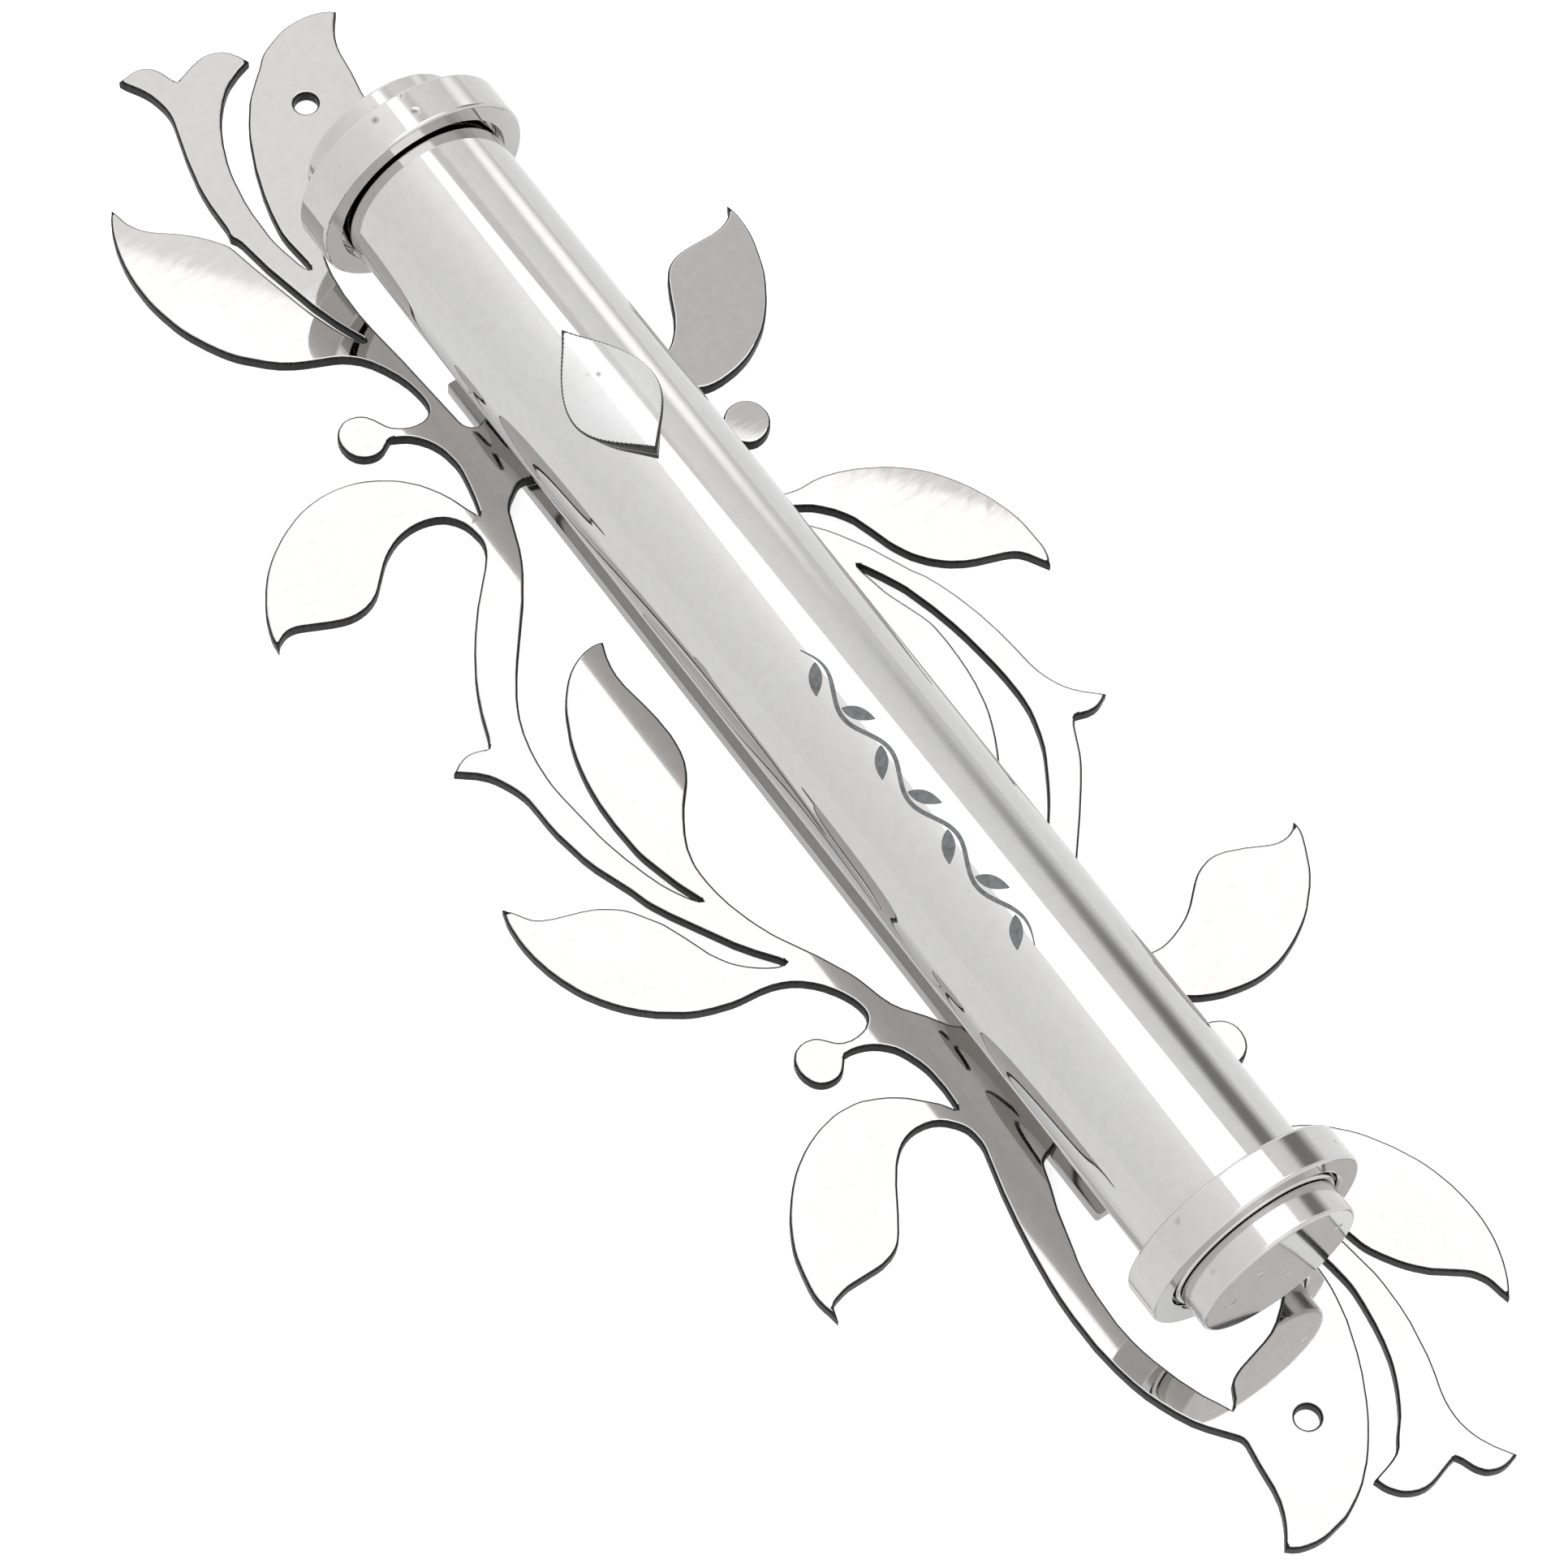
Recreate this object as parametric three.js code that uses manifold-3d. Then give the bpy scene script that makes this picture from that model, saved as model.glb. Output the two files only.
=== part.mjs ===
// Wall-hung document case: a round polished steel tube with a collar and a push-fit end
// plug at each end, standing on two saddle posts in front of a flat plate cut as a leafy
// vine, with a straight mounting rail behind the plate. A blank rolled parchment is inside.
// Units are millimetres. +Z points out of the wall, +Y is up along the tube, z = 0 is the
// back of the rail, and x = y = 0 is the middle of the plate's outer size.
import * as THREE from "three";
import { mergeVertices } from "three/addons/utils/BufferGeometryUtils.js";
import Module from "manifold-3d";

const wasm = await Module();
wasm.setup();

// ---- driving dimensions -------------------------------------------------------------
const RAIL_WIDTH = 9.6;
const RAIL_THICK = 1.5;
const RAIL_TOP_Y = 54.1;
const RAIL_BOTTOM_Y = -60.7;
const RAIL_MID_X = -0.23;

const PLATE_THICK = 1.5;
const STACK_GAP = 0.1; // between two flats that lie on each other
const PLATE_BACK_Z = RAIL_THICK + STACK_GAP;
const PLATE_FRONT_Z = PLATE_BACK_Z + PLATE_THICK;
const WALL_HOLE_R = 1.3;
const WALL_HOLES = [
  [1.5, 90.75],
  [-1.25, -89.6],
];

const TUBE_X = 1.44;
const TUBE_Z = 15.83;
const TUBE_R = 9.5;
const TUBE_BORE_R = 8.0;
const TUBE_TOP_Y = 72.35;
const TUBE_BOTTOM_Y = -75.68;
const FIT_GAP = 0.3; // between fitted round pieces

const COLLAR_R = 12.36;
const COLLAR_BORE_R = TUBE_R + FIT_GAP;
const UPPER_COLLAR_LENGTH = 4.7;
const LOWER_COLLAR_LENGTH = 4.3;
const COLLAR_EDGE = 0.3;

const PLUG_HEAD_R = 9.11;
const UPPER_PLUG_HEAD = 3.6;
const LOWER_PLUG_HEAD = 3.7;
const PLUG_SPIGOT_R = TUBE_BORE_R - FIT_GAP;
const PLUG_SPIGOT_LENGTH = 9.0;
const PLUG_EDGE = 0.35;
const SEAL_WIRE_R = 0.9;
const SEAL_MID_R = 6.95;
const SEAL_DEPTH = 4.6; // middle of the seal, below the plug's shoulder
const GROOVE_R = 5.9;
const GROOVE_HALF = 1.1;

const POST_R = 4.8;
const POST_Y = 43.7;
const POST_TOP = 7.4; // height of the saddle's horns above the wall plane
const POST_THREAD_R = 1.8;
const POST_THREAD_TOP = 5.2;

const SCREW_R = 1.5;
const SCREW_HEAD_R = 2.7;
const SCREW_HEAD_BACK_Z = 0.1;
const SCREW_HEAD_H = 1.3;
const SCREW_TOP_Z = 4.9;

const SCROLL_LENGTH = 120;
const SCROLL_R = 6.7;
const SCROLL_CORE_R = 3.2;
const SCROLL_SHEET = 0.35;
const SCROLL_PITCH = 0.8;
const SCROLL_DROP = 1.0; // the roll lies low in the bore

const FRONT_LEAF_INNER_R = TUBE_R + STACK_GAP;
const FRONT_LEAF_OUTER_R = TUBE_R + 1.3;
const FRONT_LEAF_MID_ARC = -1.2;
const ROUND = 48;

// ---- the vine plate's edges, x and y in turn ------------------------------------------
const VINE_EDGE = [
  12.64,-104.22, 13.18,-104.08, 12.88,-103.62, 11.98,-102.19, 11.35,-100.84, 10.93,-99.41, 10.77,-97.69,
  11,-95.72, 12.44,-91.19, 13.2,-87.53, 13.43,-85.56, 13.5,-81.33, 12.84,-76.16, 11.57,-70.05, 10.54,-66.45,
  9.09,-62.55, 9.6,-62.88, 10.12,-63.67, 11.62,-67.64, 12.29,-70.05, 14.11,-78.08, 14.54,-79.22,
  15.91,-81.61, 17.12,-83.19, 18.16,-84.27, 20.73,-86.22, 21.59,-87.11, 22.16,-88.19, 22.52,-90.12,
  22.57,-90.26, 22.71,-90.87, 23.12,-90.33, 23.82,-89.41, 24.79,-87.38, 25.46,-85.23, 25.8,-83.03,
  25.82,-80.78, 25.53,-78.06, 25.09,-76.11, 24.38,-74, 23.32,-71.73, 21.91,-69.36, 20.71,-67.78,
  19.34,-66.33, 16.98,-64.52, 12.49,-62.38, 10.79,-60.92, 9.35,-58.6, 8.41,-56.03, 8.07,-53.82, 8.16,-52.37,
  8.66,-51.59, 9.75,-51.21, 11.19,-51.46, 12.44,-52.24, 12.92,-52.78, 13.91,-54.7, 14.8,-55.5, 15.49,-55.77,
  16.21,-55.81, 16.89,-55.62, 17.5,-55.23, 18.12,-54.46, 18.43,-53.3, 18.25,-52.1, 17.73,-51.3, 16.71,-50.63,
  15.78,-50.41, 14.85,-50.6, 13.58,-51.3, 12.05,-50.46, 11.17,-49.62, 10.23,-48.14, 9.78,-46.73, 9.57,-44.77,
  9.77,-43.03, 10.35,-40.62, 11.12,-39.41, 11.62,-40.19, 12.48,-42.52, 13.46,-44.24, 14.51,-45.62,
  15.95,-46.99, 17.39,-47.95, 19.45,-48.87, 22.11,-49.48, 24.09,-49.59, 26.05,-49.32, 28.16,-48.59,
  30.59,-47.3, 32.19,-46.12, 33.94,-44.34, 35.26,-42.55, 36.8,-39.42, 37.02,-38.28, 37.03,-37.44,
  36.62,-37.95, 35.41,-38.45, 34.2,-38.44, 29.21,-36.24, 28,-35.98, 27.03,-36.02, 26.07,-36.3, 24.98,-36.88,
  22.55,-39.02, 21.12,-40, 19.04,-40.85, 17.34,-41.19, 15.87,-41, 14.71,-40.55, 13.75,-39.8, 13.05,-38.8,
  12.61,-37.38, 12.51,-35.91, 12.77,-34.23, 13.58,-32.42, 15.16,-29.88, 22.71,-20.61, 23.77,-18.92,
  25.05,-16.22, 25.8,-15.25, 27.18,-15.69, 27.91,-15.76, 28.84,-15.54, 29.44,-15.2, 29.95,-14.96,
  29.52,-14.54, 27.46,-12.51, 26.68,-11.25, 26.11,-9.87, 25.64,-7.67, 25.2,-2.73, 24.75,-0.02, 24.05,2.88,
  22.73,6.64, 21.91,8.07, 19.89,12.64, 18.3,15.46, 14.24,21.14, 15.05,21.35, 16.14,20.92, 17.82,19.84,
  19.32,18.2, 20.46,16.27, 21.75,11.96, 22.54,10.13, 23.32,8.87, 24.44,7.53, 25.75,6.39, 27,5.6, 30.96,4.08,
  32.06,3.51, 32.9,2.61, 33.86,0.96, 34.18,0.41, 34.41,0.96, 34.73,1.5, 34.97,2.94, 34.9,5.92, 34.52,8.12,
  33.87,10.27, 32.99,12.34, 31.77,14.51, 30.32,16.54, 28.93,17.96, 27.39,19.23, 23.95,21.23, 20.89,22.28,
  17.45,22.52, 15.35,23.27, 13.59,24.64, 12.1,26.62, 11.34,28.19, 11.01,29.62, 11.21,30.77, 11.88,31.43,
  13.04,31.78, 14.5,31.62, 15.34,31.14, 16.64,29.71, 17.54,29.39, 18.25,29.45, 19.16,29.82, 19.75,30.26,
  20.18,30.84, 20.46,31.77, 20.34,32.97, 19.89,33.81, 18.91,34.48, 17.96,34.62, 17.03,34.41, 16.43,34.01,
  15.29,32.73, 13.83,32.97, 12.49,33.59, 11.35,34.55, 10.52,35.77, 9.62,38.36, 9.4,40.58, 9.58,41.75,
  10.38,42.58, 12.67,40.3, 13.82,39.34, 15.09,38.55, 17.07,37.7, 18.73,37.56, 20.71,37.8, 22.39,38.27,
  23.96,39.02, 25.82,40.27, 27.25,41.68, 28.48,43.23, 30.14,46.01, 31.25,49.05, 31.73,50.98, 31.9,53.45,
  31.73,54.17, 31.63,55.09, 31.23,54.31, 30.59,53.66, 29.46,53.2, 28.23,53.02, 24.25,53.04, 23.05,52.73,
  22.19,52.27, 21.05,50.98, 19.03,46.98, 18.21,45.72, 17.03,44.45, 15.78,43.66, 14.1,43.34, 12.42,43.7,
  11.21,44.55, 10.21,45.95, 9.9,47.12, 9.91,48.61, 12.03,57.06, 13.11,63.7, 13.44,68.17, 13.41,71.91,
  12.71,77.08, 11.73,80.42, 10.28,83.61, 7.58,87.17, 7.27,88.03, 8.43,95.11, 9.27,96.92, 10.71,98.89,
  9.5,99.7, 7.58,100.22, 5.6,100.25, 3.9,99.88, 2.06,99.11, 0.99,98.5, -3.46,94.23, -6.12,90.03, -7.54,86.84,
  -8.65,83.53, -9.68,78.42, -9.38,73.97, -9.46,73.02, -9.87,73.5, -10.14,74.41, -10.81,78.83, -10.58,84.03,
  -10.06,86.97, -9.46,89.12, -7.61,93.22, -5.69,95.81, -3.79,97.42, -2.23,98.19, -1.13,98.56, -0.58,98.75,
  -0.82,99.24, -1.07,99.86, -1.75,100.89, -2.51,101.5, -3.42,101.88, -4.15,102, -5.12,101.89, -8.39,100.81,
  -9.27,103.05, -9.67,103.66, -10.22,104.12, -11.13,104.47, -11.85,104.48, -12.56,104.34, -13.53,104.27,
  -13.14,103.44, -12.4,102.2, -11.8,100.84, -11.48,99.38, -11.38,97.91, -11.63,96.44, -12.96,91.89,
  -13.73,88.47, -14.07,85.52, -14.14,82.28, -14.39,81.08, -13.82,79.8, -13.24,75.61, -11.89,69.27,
  -9.56,62.27, -10.22,62.88, -10.7,63.73, -12.31,68.2, -15.08,80.31, -16.29,82.14, -17.25,83.28, -18.5,84.48,
  -20.84,86.34, -21.68,87.25, -22.39,88.56, -22.84,90.33, -22.98,90.87, -23.3,90.42, -23.84,89.67,
  -24.68,87.86, -25.41,85.48, -25.82,83.03, -25.91,80.3, -25.77,78.31, -25.22,75.38, -24.54,73.23,
  -22.5,69.23, -21.45,67.86, -19.72,66.06, -17.34,64.27, -12.84,62.12, -11.34,60.83, -9.88,58.52,
  -8.84,55.73, -8.54,53.77, -8.59,52.3, -8.88,51.66, -9.21,51.33, -10.09,51.02, -11.54,51.23, -12.8,51.98,
  -13.45,52.7, -14.45,54.61, -15.38,55.37, -16.07,55.59, -16.79,55.62, -17.88,55.12, -18.48,54.38,
  -18.79,53.2, -18.62,51.98, -17.97,50.98, -17.16,50.45, -16.23,50.23, -15.3,50.41, -14.04,51.12,
  -12.51,50.27, -11.62,49.41, -10.7,47.95, -10.24,46.54, -10.04,45.05, -10.12,43.56, -10.77,40.41,
  -11.46,38.27, -12.62,41.59, -13.26,42.95, -14.46,44.84, -16,46.47, -17.82,47.77, -19.84,48.77, -22,49.3,
  -23.97,49.41, -26.43,49.04, -28.97,48.04, -31.32,46.62, -33.05,45.19, -34.66,43.29, -36.23,40.75,
  -37.09,38.41, -37.11,37.61, -37.32,36.63, -36.66,37.34, -35.88,37.81, -34.94,37.94, -33.99,37.68,
  -29.91,35.84, -28.45,35.58, -27.22,35.68, -26.29,35.98, -25.43,36.47, -22.73,39.05, -21.54,39.93,
  -19.97,40.68, -18.27,41, -16.79,40.91, -15.38,40.47, -14.37,39.77, -13.5,38.56, -13.12,37.4, -12.96,36.18,
  -13.07,35.2, -13.34,34.52, -14.5,32.91, -17.75,29.46, -21.06,25.11, -23.45,21.02, -25.29,16.38,
  -25.88,15.29, -27.2,15.76, -28.16,15.87, -29.34,15.54, -29.89,15.17, -30.39,14.9, -29.91,14.52,
  -28.61,13.49, -27.77,12.58, -27.02,11.3, -26.34,9.69, -25.95,8, -25.72,3.29, -25.09,-0.39, -24.64,-2.06,
  -22.34,-8.62, -18,-16.77, -14.76,-21.42, -15.65,-21.29, -16.73,-20.71, -18.29,-19.47, -19.45,-18.17,
  -20.54,-16.22, -22.43,-11.08, -24.75,-7.54, -25.88,-6.58, -27.34,-5.64, -32.45,-3.66, -33.2,-3.03,
  -34.26,-1.36, -34.54,-1.12, -34.93,-0.64, -35.13,-1.28, -35.41,-2.12, -35.6,-4.34, -35.44,-6.83,
  -35.06,-8.79, -34.56,-10.45, -33.49,-12.98, -32.59,-14.46, -31.09,-16.45, -28.77,-18.71, -26.52,-20.29,
  -25.21,-21, -21.91,-22.11, -17.5,-22.77, -15.66,-23.54, -13.93,-24.95, -12.59,-26.74, -11.74,-28.54,
  -11.46,-29.98, -11.65,-30.9, -12.5,-31.7, -13.68,-31.97, -15.12,-31.75, -15.92,-31.21, -17.05,-29.95,
  -18.18,-29.52, -18.89,-29.54, -19.57,-29.77, -20.41,-30.61, -20.7,-31.52, -20.66,-32.74, -20.16,-33.84,
  -19.43,-34.45, -18.5,-34.71, -17.55,-34.6, -16.77,-34.07, -15.81,-32.95, -14.37,-33.13, -13.01,-33.73,
  -11.87,-34.69, -11.02,-35.89, -10.31,-37.75, -9.96,-39.45, -9.85,-41.45, -10.07,-44.14, -11.25,-42.42,
  -13.52,-40.12, -15.14,-38.98, -17.36,-37.94, -19.23,-37.66, -20.72,-37.67, -22.43,-38.02, -24.29,-38.7,
  -26.66,-40.09, -28.36,-41.55, -30.3,-43.82, -31.61,-45.94, -32.51,-47.98, -33.24,-51.14, -33.37,-52.88,
  -33.1,-54.27, -32.91,-55.77, -32.08,-53.99, -30.73,-53.57, -29.52,-53.44, -25.81,-53.45, -24.63,-53.16,
  -23.75,-52.73, -22.54,-51.5, -18.61,-45.74, -17.38,-44.53, -16.09,-43.78, -14.65,-43.53, -12.96,-43.85,
  -11.74,-44.67, -10.71,-46.05, -10.38,-47.23, -10.4,-48.96, -12.47,-57.17, -13.59,-64.06, -13.9,-68.27,
  -13.88,-72.02, -13.2,-77.19, -12.22,-80.53, -10.79,-83.72, -7.97,-87.5, -7.75,-88.38, -8.46,-93.53,
  -8.8,-94.97, -9.74,-97, -11.18,-99.03, -10.04,-99.88, -8.37,-100.33, -6.64,-100.31, -4.46,-99.91,
  -2.44,-98.97, -0.96,-98.05, 0.73,-96.58, 2.37,-94.72, 4,-92.52, 6.01,-89.06, 6.96,-87.03, 8.21,-83.77,
  8.82,-81.34, 9.15,-79.14, 9.21,-77.41, 8.93,-73.95, 9.16,-73.11, 9.53,-73.98, 10,-76.17, 10.57,-81.11,
  10.02,-85.55, 9.09,-89.16, 8.2,-91.22, 6.82,-93.59, 4.05,-96.97, 2.83,-97.69, 0.2,-98.39, 0.54,-99.55,
  1.21,-100.58, 1.94,-101.23, 3.04,-101.77, 4.5,-101.89, 8.09,-100.98, 9.08,-103.17, 9.91,-104.05,
  10.57,-104.34, 11.54,-104.48,
];
const MIDDLE_OPENING = [
  -9.29,18.93, -10.43,19.17, -11.89,18.96, -13.49,18.27, -14.87,17.21, -16.34,15.52, -17.27,14.05,
  -18.48,11.59, -19.31,9.24, -19.93,6.57, -20.29,3.6, -20.34,0.88, -20.16,-2.58, -19,-7.67, -17.8,-11.18,
  -18.95,-9.62, -20.14,-7.15, -21.41,-2.85, -22.13,0.82, -22.73,6.5, -22.81,8.98, -22.39,12.68, -21.31,16.27,
  -20.16,18.48, -18.63,20.76, -13.37,27.39, -11.54,30.09, -10.16,32.73, -8.59,36.94, -7.69,38.06,
  -6.28,39.05, -5.39,39.25, 3.27,36.95, 4.17,36.59, 4.71,36.12, 8.16,30.95, 9.8,25.46, 11.27,22.3,
  13.37,18.34, 14.13,16.5, 15.13,13.15, 15.55,10.71, 15.62,7.48, 15.42,6.25, 14.96,4.83, 13.07,1.6,
  10.42,-1.7, 9.86,-2.81, 9.48,-3.99, 9.17,-6.19, 9.2,-8.43, 9.84,-13.61, 9.87,-15.11, 9.57,-17.06,
  8.83,-19.15, 10.01,-19.36, 11.46,-19.14, 13.05,-18.43, 14.43,-17.36, 15.91,-15.69, 16.82,-14.21,
  18.16,-11.54, 19.11,-8.96, 19.89,-4.8, 20.11,-0.83, 20.04,1.15, 19.64,3.07, 18.16,7.58, 17.62,10.51,
  17.57,11.71, 18.98,9.09, 20.09,6.58, 21.03,3.22, 21.59,0.54, 22.19,-3.9, 22.48,-7.61, 22.41,-10.86,
  21.96,-13.29, 20.88,-16.36, 18.87,-19.8, 17.32,-22.06, 12.66,-27.91, 10.74,-30.83, 9.74,-32.84,
  8.27,-36.81, 7.78,-37.67, 7.08,-38.35, 5.62,-39.25, 4.96,-39.41, 3.77,-39.17, -3.94,-37.07, -4.82,-36.66,
  -5.32,-36.13, -8.71,-30.95, -10.16,-25.92, -11.71,-22.52, -14.13,-17.88, -15.07,-15.31, -15.71,-12.9,
  -15.99,-11.18, -16.14,-8.7, -16,-6.96, -15.62,-5.51, -14.89,-3.94, -13.98,-2.45, -10.79,1.69, -10.24,2.8,
  -9.89,3.99, -9.62,6.21, -9.67,8.44, -10.29,13.38, -10.33,14.88, -9.97,17.08,
];
const UPPER_OPENING = [
  -5.64,47.3, -6.57,48, -6.87,48.9, -8.12,63.27, -8.21,68.52, -7.92,71.23, -7.4,73.42, -6.1,76.39,
  -5.4,77.42, -4.53,78.3, -2.77,79.69, -1.69,80.28, 2.89,81.53, 4.25,82.09, 4.77,82.56, 5.44,83.8,
  6.33,84.64, 7.71,81.81, 8.67,79.23, 9.46,76.34, 9.98,73.41, 10.16,70.92, 10.01,67.69, 9.62,64.72,
  9.02,62.56, 7.78,58.23, 6.17,53.79, 5.79,53.19, 5.22,52.8, 3.4,52.06, -4,47.88,
];
const LOWER_OPENING = [
  -6.83,-84.83, -8.2,-81.97, -9.14,-79.39, -9.93,-76.5, -10.46,-73.55, -10.62,-71.33, -10.46,-67.84,
  -10.07,-64.88, -9.47,-62.71, -8.24,-58.38, -6.62,-53.95, -6.25,-53.35, -3.82,-52.25, 3.56,-48.03,
  5.19,-47.48, 5.97,-48.02, 6.4,-49.12, 7.14,-58.55, 7.67,-63.24, 7.75,-68.75, 7.44,-71.47, 6.92,-73.64,
  5.6,-76.61, 4.9,-77.64, 4.03,-78.53, 2.27,-79.89, 1.19,-80.5, -3.38,-81.73, -4.75,-82.3, -5.27,-82.78,
  -5.94,-84.02,
];

// Right half of the plain leaf on the tube's front, as arc length and height, from its
// foot up to its tip. The left half mirrors it.
const FRONT_LEAF_HALF = [
  0, 23.6, 1.21, 25.01, 2.42, 26.42, 3.44, 27.83, 4.16, 29.23, 4.54, 30.64, 4.56, 32.05, 4.24, 33.46, 3.62, 34.87, 2.78, 36.27, 1.8, 37.68, 0.81, 39.09, 0, 40.5,
];

// ---- helpers --------------------------------------------------------------------------
const pairs = (flat) => {
  const out = [];
  for (let i = 0; i < flat.length; i += 2) out.push(new THREE.Vector2(flat[i], flat[i + 1]));
  return out;
};

// A closed geometry as a manifold-3d solid.
function solidOf(geometry) {
  const bare = new THREE.BufferGeometry();
  bare.setAttribute("position", geometry.getAttribute("position"));
  if (geometry.index) bare.setIndex(geometry.index);
  const merged = mergeVertices(bare, 1e-4);
  const made = new wasm.Manifold(
    new wasm.Mesh({
      numProp: 3,
      vertProperties: new Float32Array(merged.attributes.position.array),
      triVerts: new Uint32Array(merged.index.array),
    }),
  );
  return made;
}

// A manifold-3d solid as a geometry with flat normals.
function geometryOf(solid) {
  const mesh = solid.getMesh();
  const position = new Float32Array(mesh.numVert * 3);
  for (let i = 0; i < mesh.numVert; i++)
    position.set(mesh.vertProperties.subarray(i * mesh.numProp, i * mesh.numProp + 3), i * 3);
  const indexed = new THREE.BufferGeometry();
  indexed.setAttribute("position", new THREE.BufferAttribute(position, 3));
  indexed.setIndex(new THREE.BufferAttribute(new Uint32Array(mesh.triVerts), 1));
  const flat = indexed.toNonIndexed();
  flat.computeVertexNormals();
  return flat;
}

// A turned piece about the Y axis. The profile is radius and height pairs; it closes on
// the axis, or on itself when closed is true.
function turned(flat, closed = false, segments = ROUND) {
  const profile = pairs(flat);
  if (closed) profile.push(profile[0].clone());
  let area = 0;
  profile.forEach((p, i) => {
    const q = profile[(i + 1) % profile.length];
    area += p.x * q.y - q.x * p.y;
  });
  if (area < 0) profile.reverse();
  return new THREE.LatheGeometry(profile, segments);
}

// A flat outline pulled up along Z.
function plateOf(outline, holes, thick) {
  const shape = new THREE.Shape(outline);
  holes.forEach((hole) => shape.holes.push(new THREE.Path(hole)));
  return new THREE.ExtrudeGeometry(shape, { depth: thick, bevelEnabled: false });
}

// A rod along Z from low to high.
function rodZ(radius, low, high, x, y, segments = 24) {
  return new THREE.CylinderGeometry(radius, radius, high - low, segments)
    .rotateX(Math.PI / 2)
    .translate(x, y, (low + high) / 2);
}

function piece(name, geometry, colour, roughness, metalness) {
  const mesh = new THREE.Mesh(
    geometry,
    new THREE.MeshStandardMaterial({ color: colour, roughness, metalness }),
  );
  mesh.name = name;
  return mesh;
}

const STEEL = 0xd9d8d5;

// ---- flat pieces ----------------------------------------------------------------------
const flats = new THREE.Group();

// Countersunk screws join the rail, the plate and the posts.
const postX = TUBE_X;
const screwYs = { upper: POST_Y, lower: -POST_Y };

function vinePlate() {
  const holes = [MIDDLE_OPENING, UPPER_OPENING, LOWER_OPENING].map(pairs);
  let solid = solidOf(plateOf(pairs(VINE_EDGE), holes, PLATE_THICK));
  for (const [x, y] of WALL_HOLES)
    solid = solid.subtract(solidOf(rodZ(WALL_HOLE_R, -1, PLATE_THICK + 1, x, y)));
  for (const y of Object.values(screwYs))
    solid = solid.subtract(solidOf(rodZ(SCREW_R + FIT_GAP, -1, PLATE_THICK + 1, postX, y)));
  return geometryOf(solid);
}
const plate = piece("vine_plate", vinePlate(), STEEL, 0.1, 1);
plate.position.z = PLATE_BACK_Z;
flats.add(plate);

function rail() {
  const length = RAIL_TOP_Y - RAIL_BOTTOM_Y;
  let solid = solidOf(
    new THREE.BoxGeometry(RAIL_WIDTH, length, RAIL_THICK).translate(
      RAIL_MID_X,
      (RAIL_TOP_Y + RAIL_BOTTOM_Y) / 2,
      RAIL_THICK / 2,
    ),
  );
  for (const y of Object.values(screwYs)) {
    const cone = new THREE.CylinderGeometry(
      SCREW_R + FIT_GAP,
      SCREW_HEAD_R + FIT_GAP + 0.1,
      RAIL_THICK + 0.2,
      24,
    )
      .rotateX(Math.PI / 2)
      .translate(postX, y, RAIL_THICK / 2);
    solid = solid.subtract(solidOf(cone));
  }
  return geometryOf(solid);
}
flats.add(piece("mounting_rail", rail(), STEEL, 0.16, 1));

function railScrew() {
  const profile = [
    0, SCREW_HEAD_BACK_Z,
    SCREW_HEAD_R, SCREW_HEAD_BACK_Z,
    SCREW_HEAD_R, SCREW_HEAD_BACK_Z + 0.1,
    SCREW_R, SCREW_HEAD_BACK_Z + SCREW_HEAD_H,
    SCREW_R, SCREW_TOP_Z - 0.3,
    SCREW_R - 0.3, SCREW_TOP_Z,
    0, SCREW_TOP_Z,
  ];
  const body = solidOf(turned(profile, false, 20).rotateX(Math.PI / 2));
  const socket = solidOf(
    new THREE.CylinderGeometry(1.15, 1.15, 2, 6).rotateX(Math.PI / 2).translate(0, 0, 0),
  );
  return geometryOf(body.subtract(socket));
}
for (const [which, y] of Object.entries(screwYs)) {
  const screw = piece(which + "_rail_screw", railScrew(), 0x8f8f8d, 0.3, 1);
  screw.position.set(postX, y, 0);
  flats.add(screw);
}

// ---- round pieces on the tube's axis ----------------------------------------------------
const onTube = new THREE.Group();
onTube.position.set(TUBE_X, 0, TUBE_Z);

onTube.add(
  piece(
    "scroll_tube",
    turned(
      [TUBE_BORE_R, TUBE_BOTTOM_Y, TUBE_R, TUBE_BOTTOM_Y, TUBE_R, TUBE_TOP_Y, TUBE_BORE_R, TUBE_TOP_Y],
      true,
    ),
    STEEL,
    0.08,
    1,
  ),
);

function collar(length) {
  const e = COLLAR_EDGE;
  return turned(
    [
      COLLAR_BORE_R, 0,
      COLLAR_R - e, 0,
      COLLAR_R, e,
      COLLAR_R, length - e,
      COLLAR_R - e, length,
      COLLAR_BORE_R, length,
    ],
    true,
  );
}
const upperCollar = piece("upper_collar", collar(UPPER_COLLAR_LENGTH), STEEL, 0.12, 1);
upperCollar.position.y = TUBE_TOP_Y - UPPER_COLLAR_LENGTH;
onTube.add(upperCollar);
const lowerCollar = piece("lower_collar", collar(LOWER_COLLAR_LENGTH), STEEL, 0.12, 1);
lowerCollar.position.y = TUBE_BOTTOM_Y;
onTube.add(lowerCollar);

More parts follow.
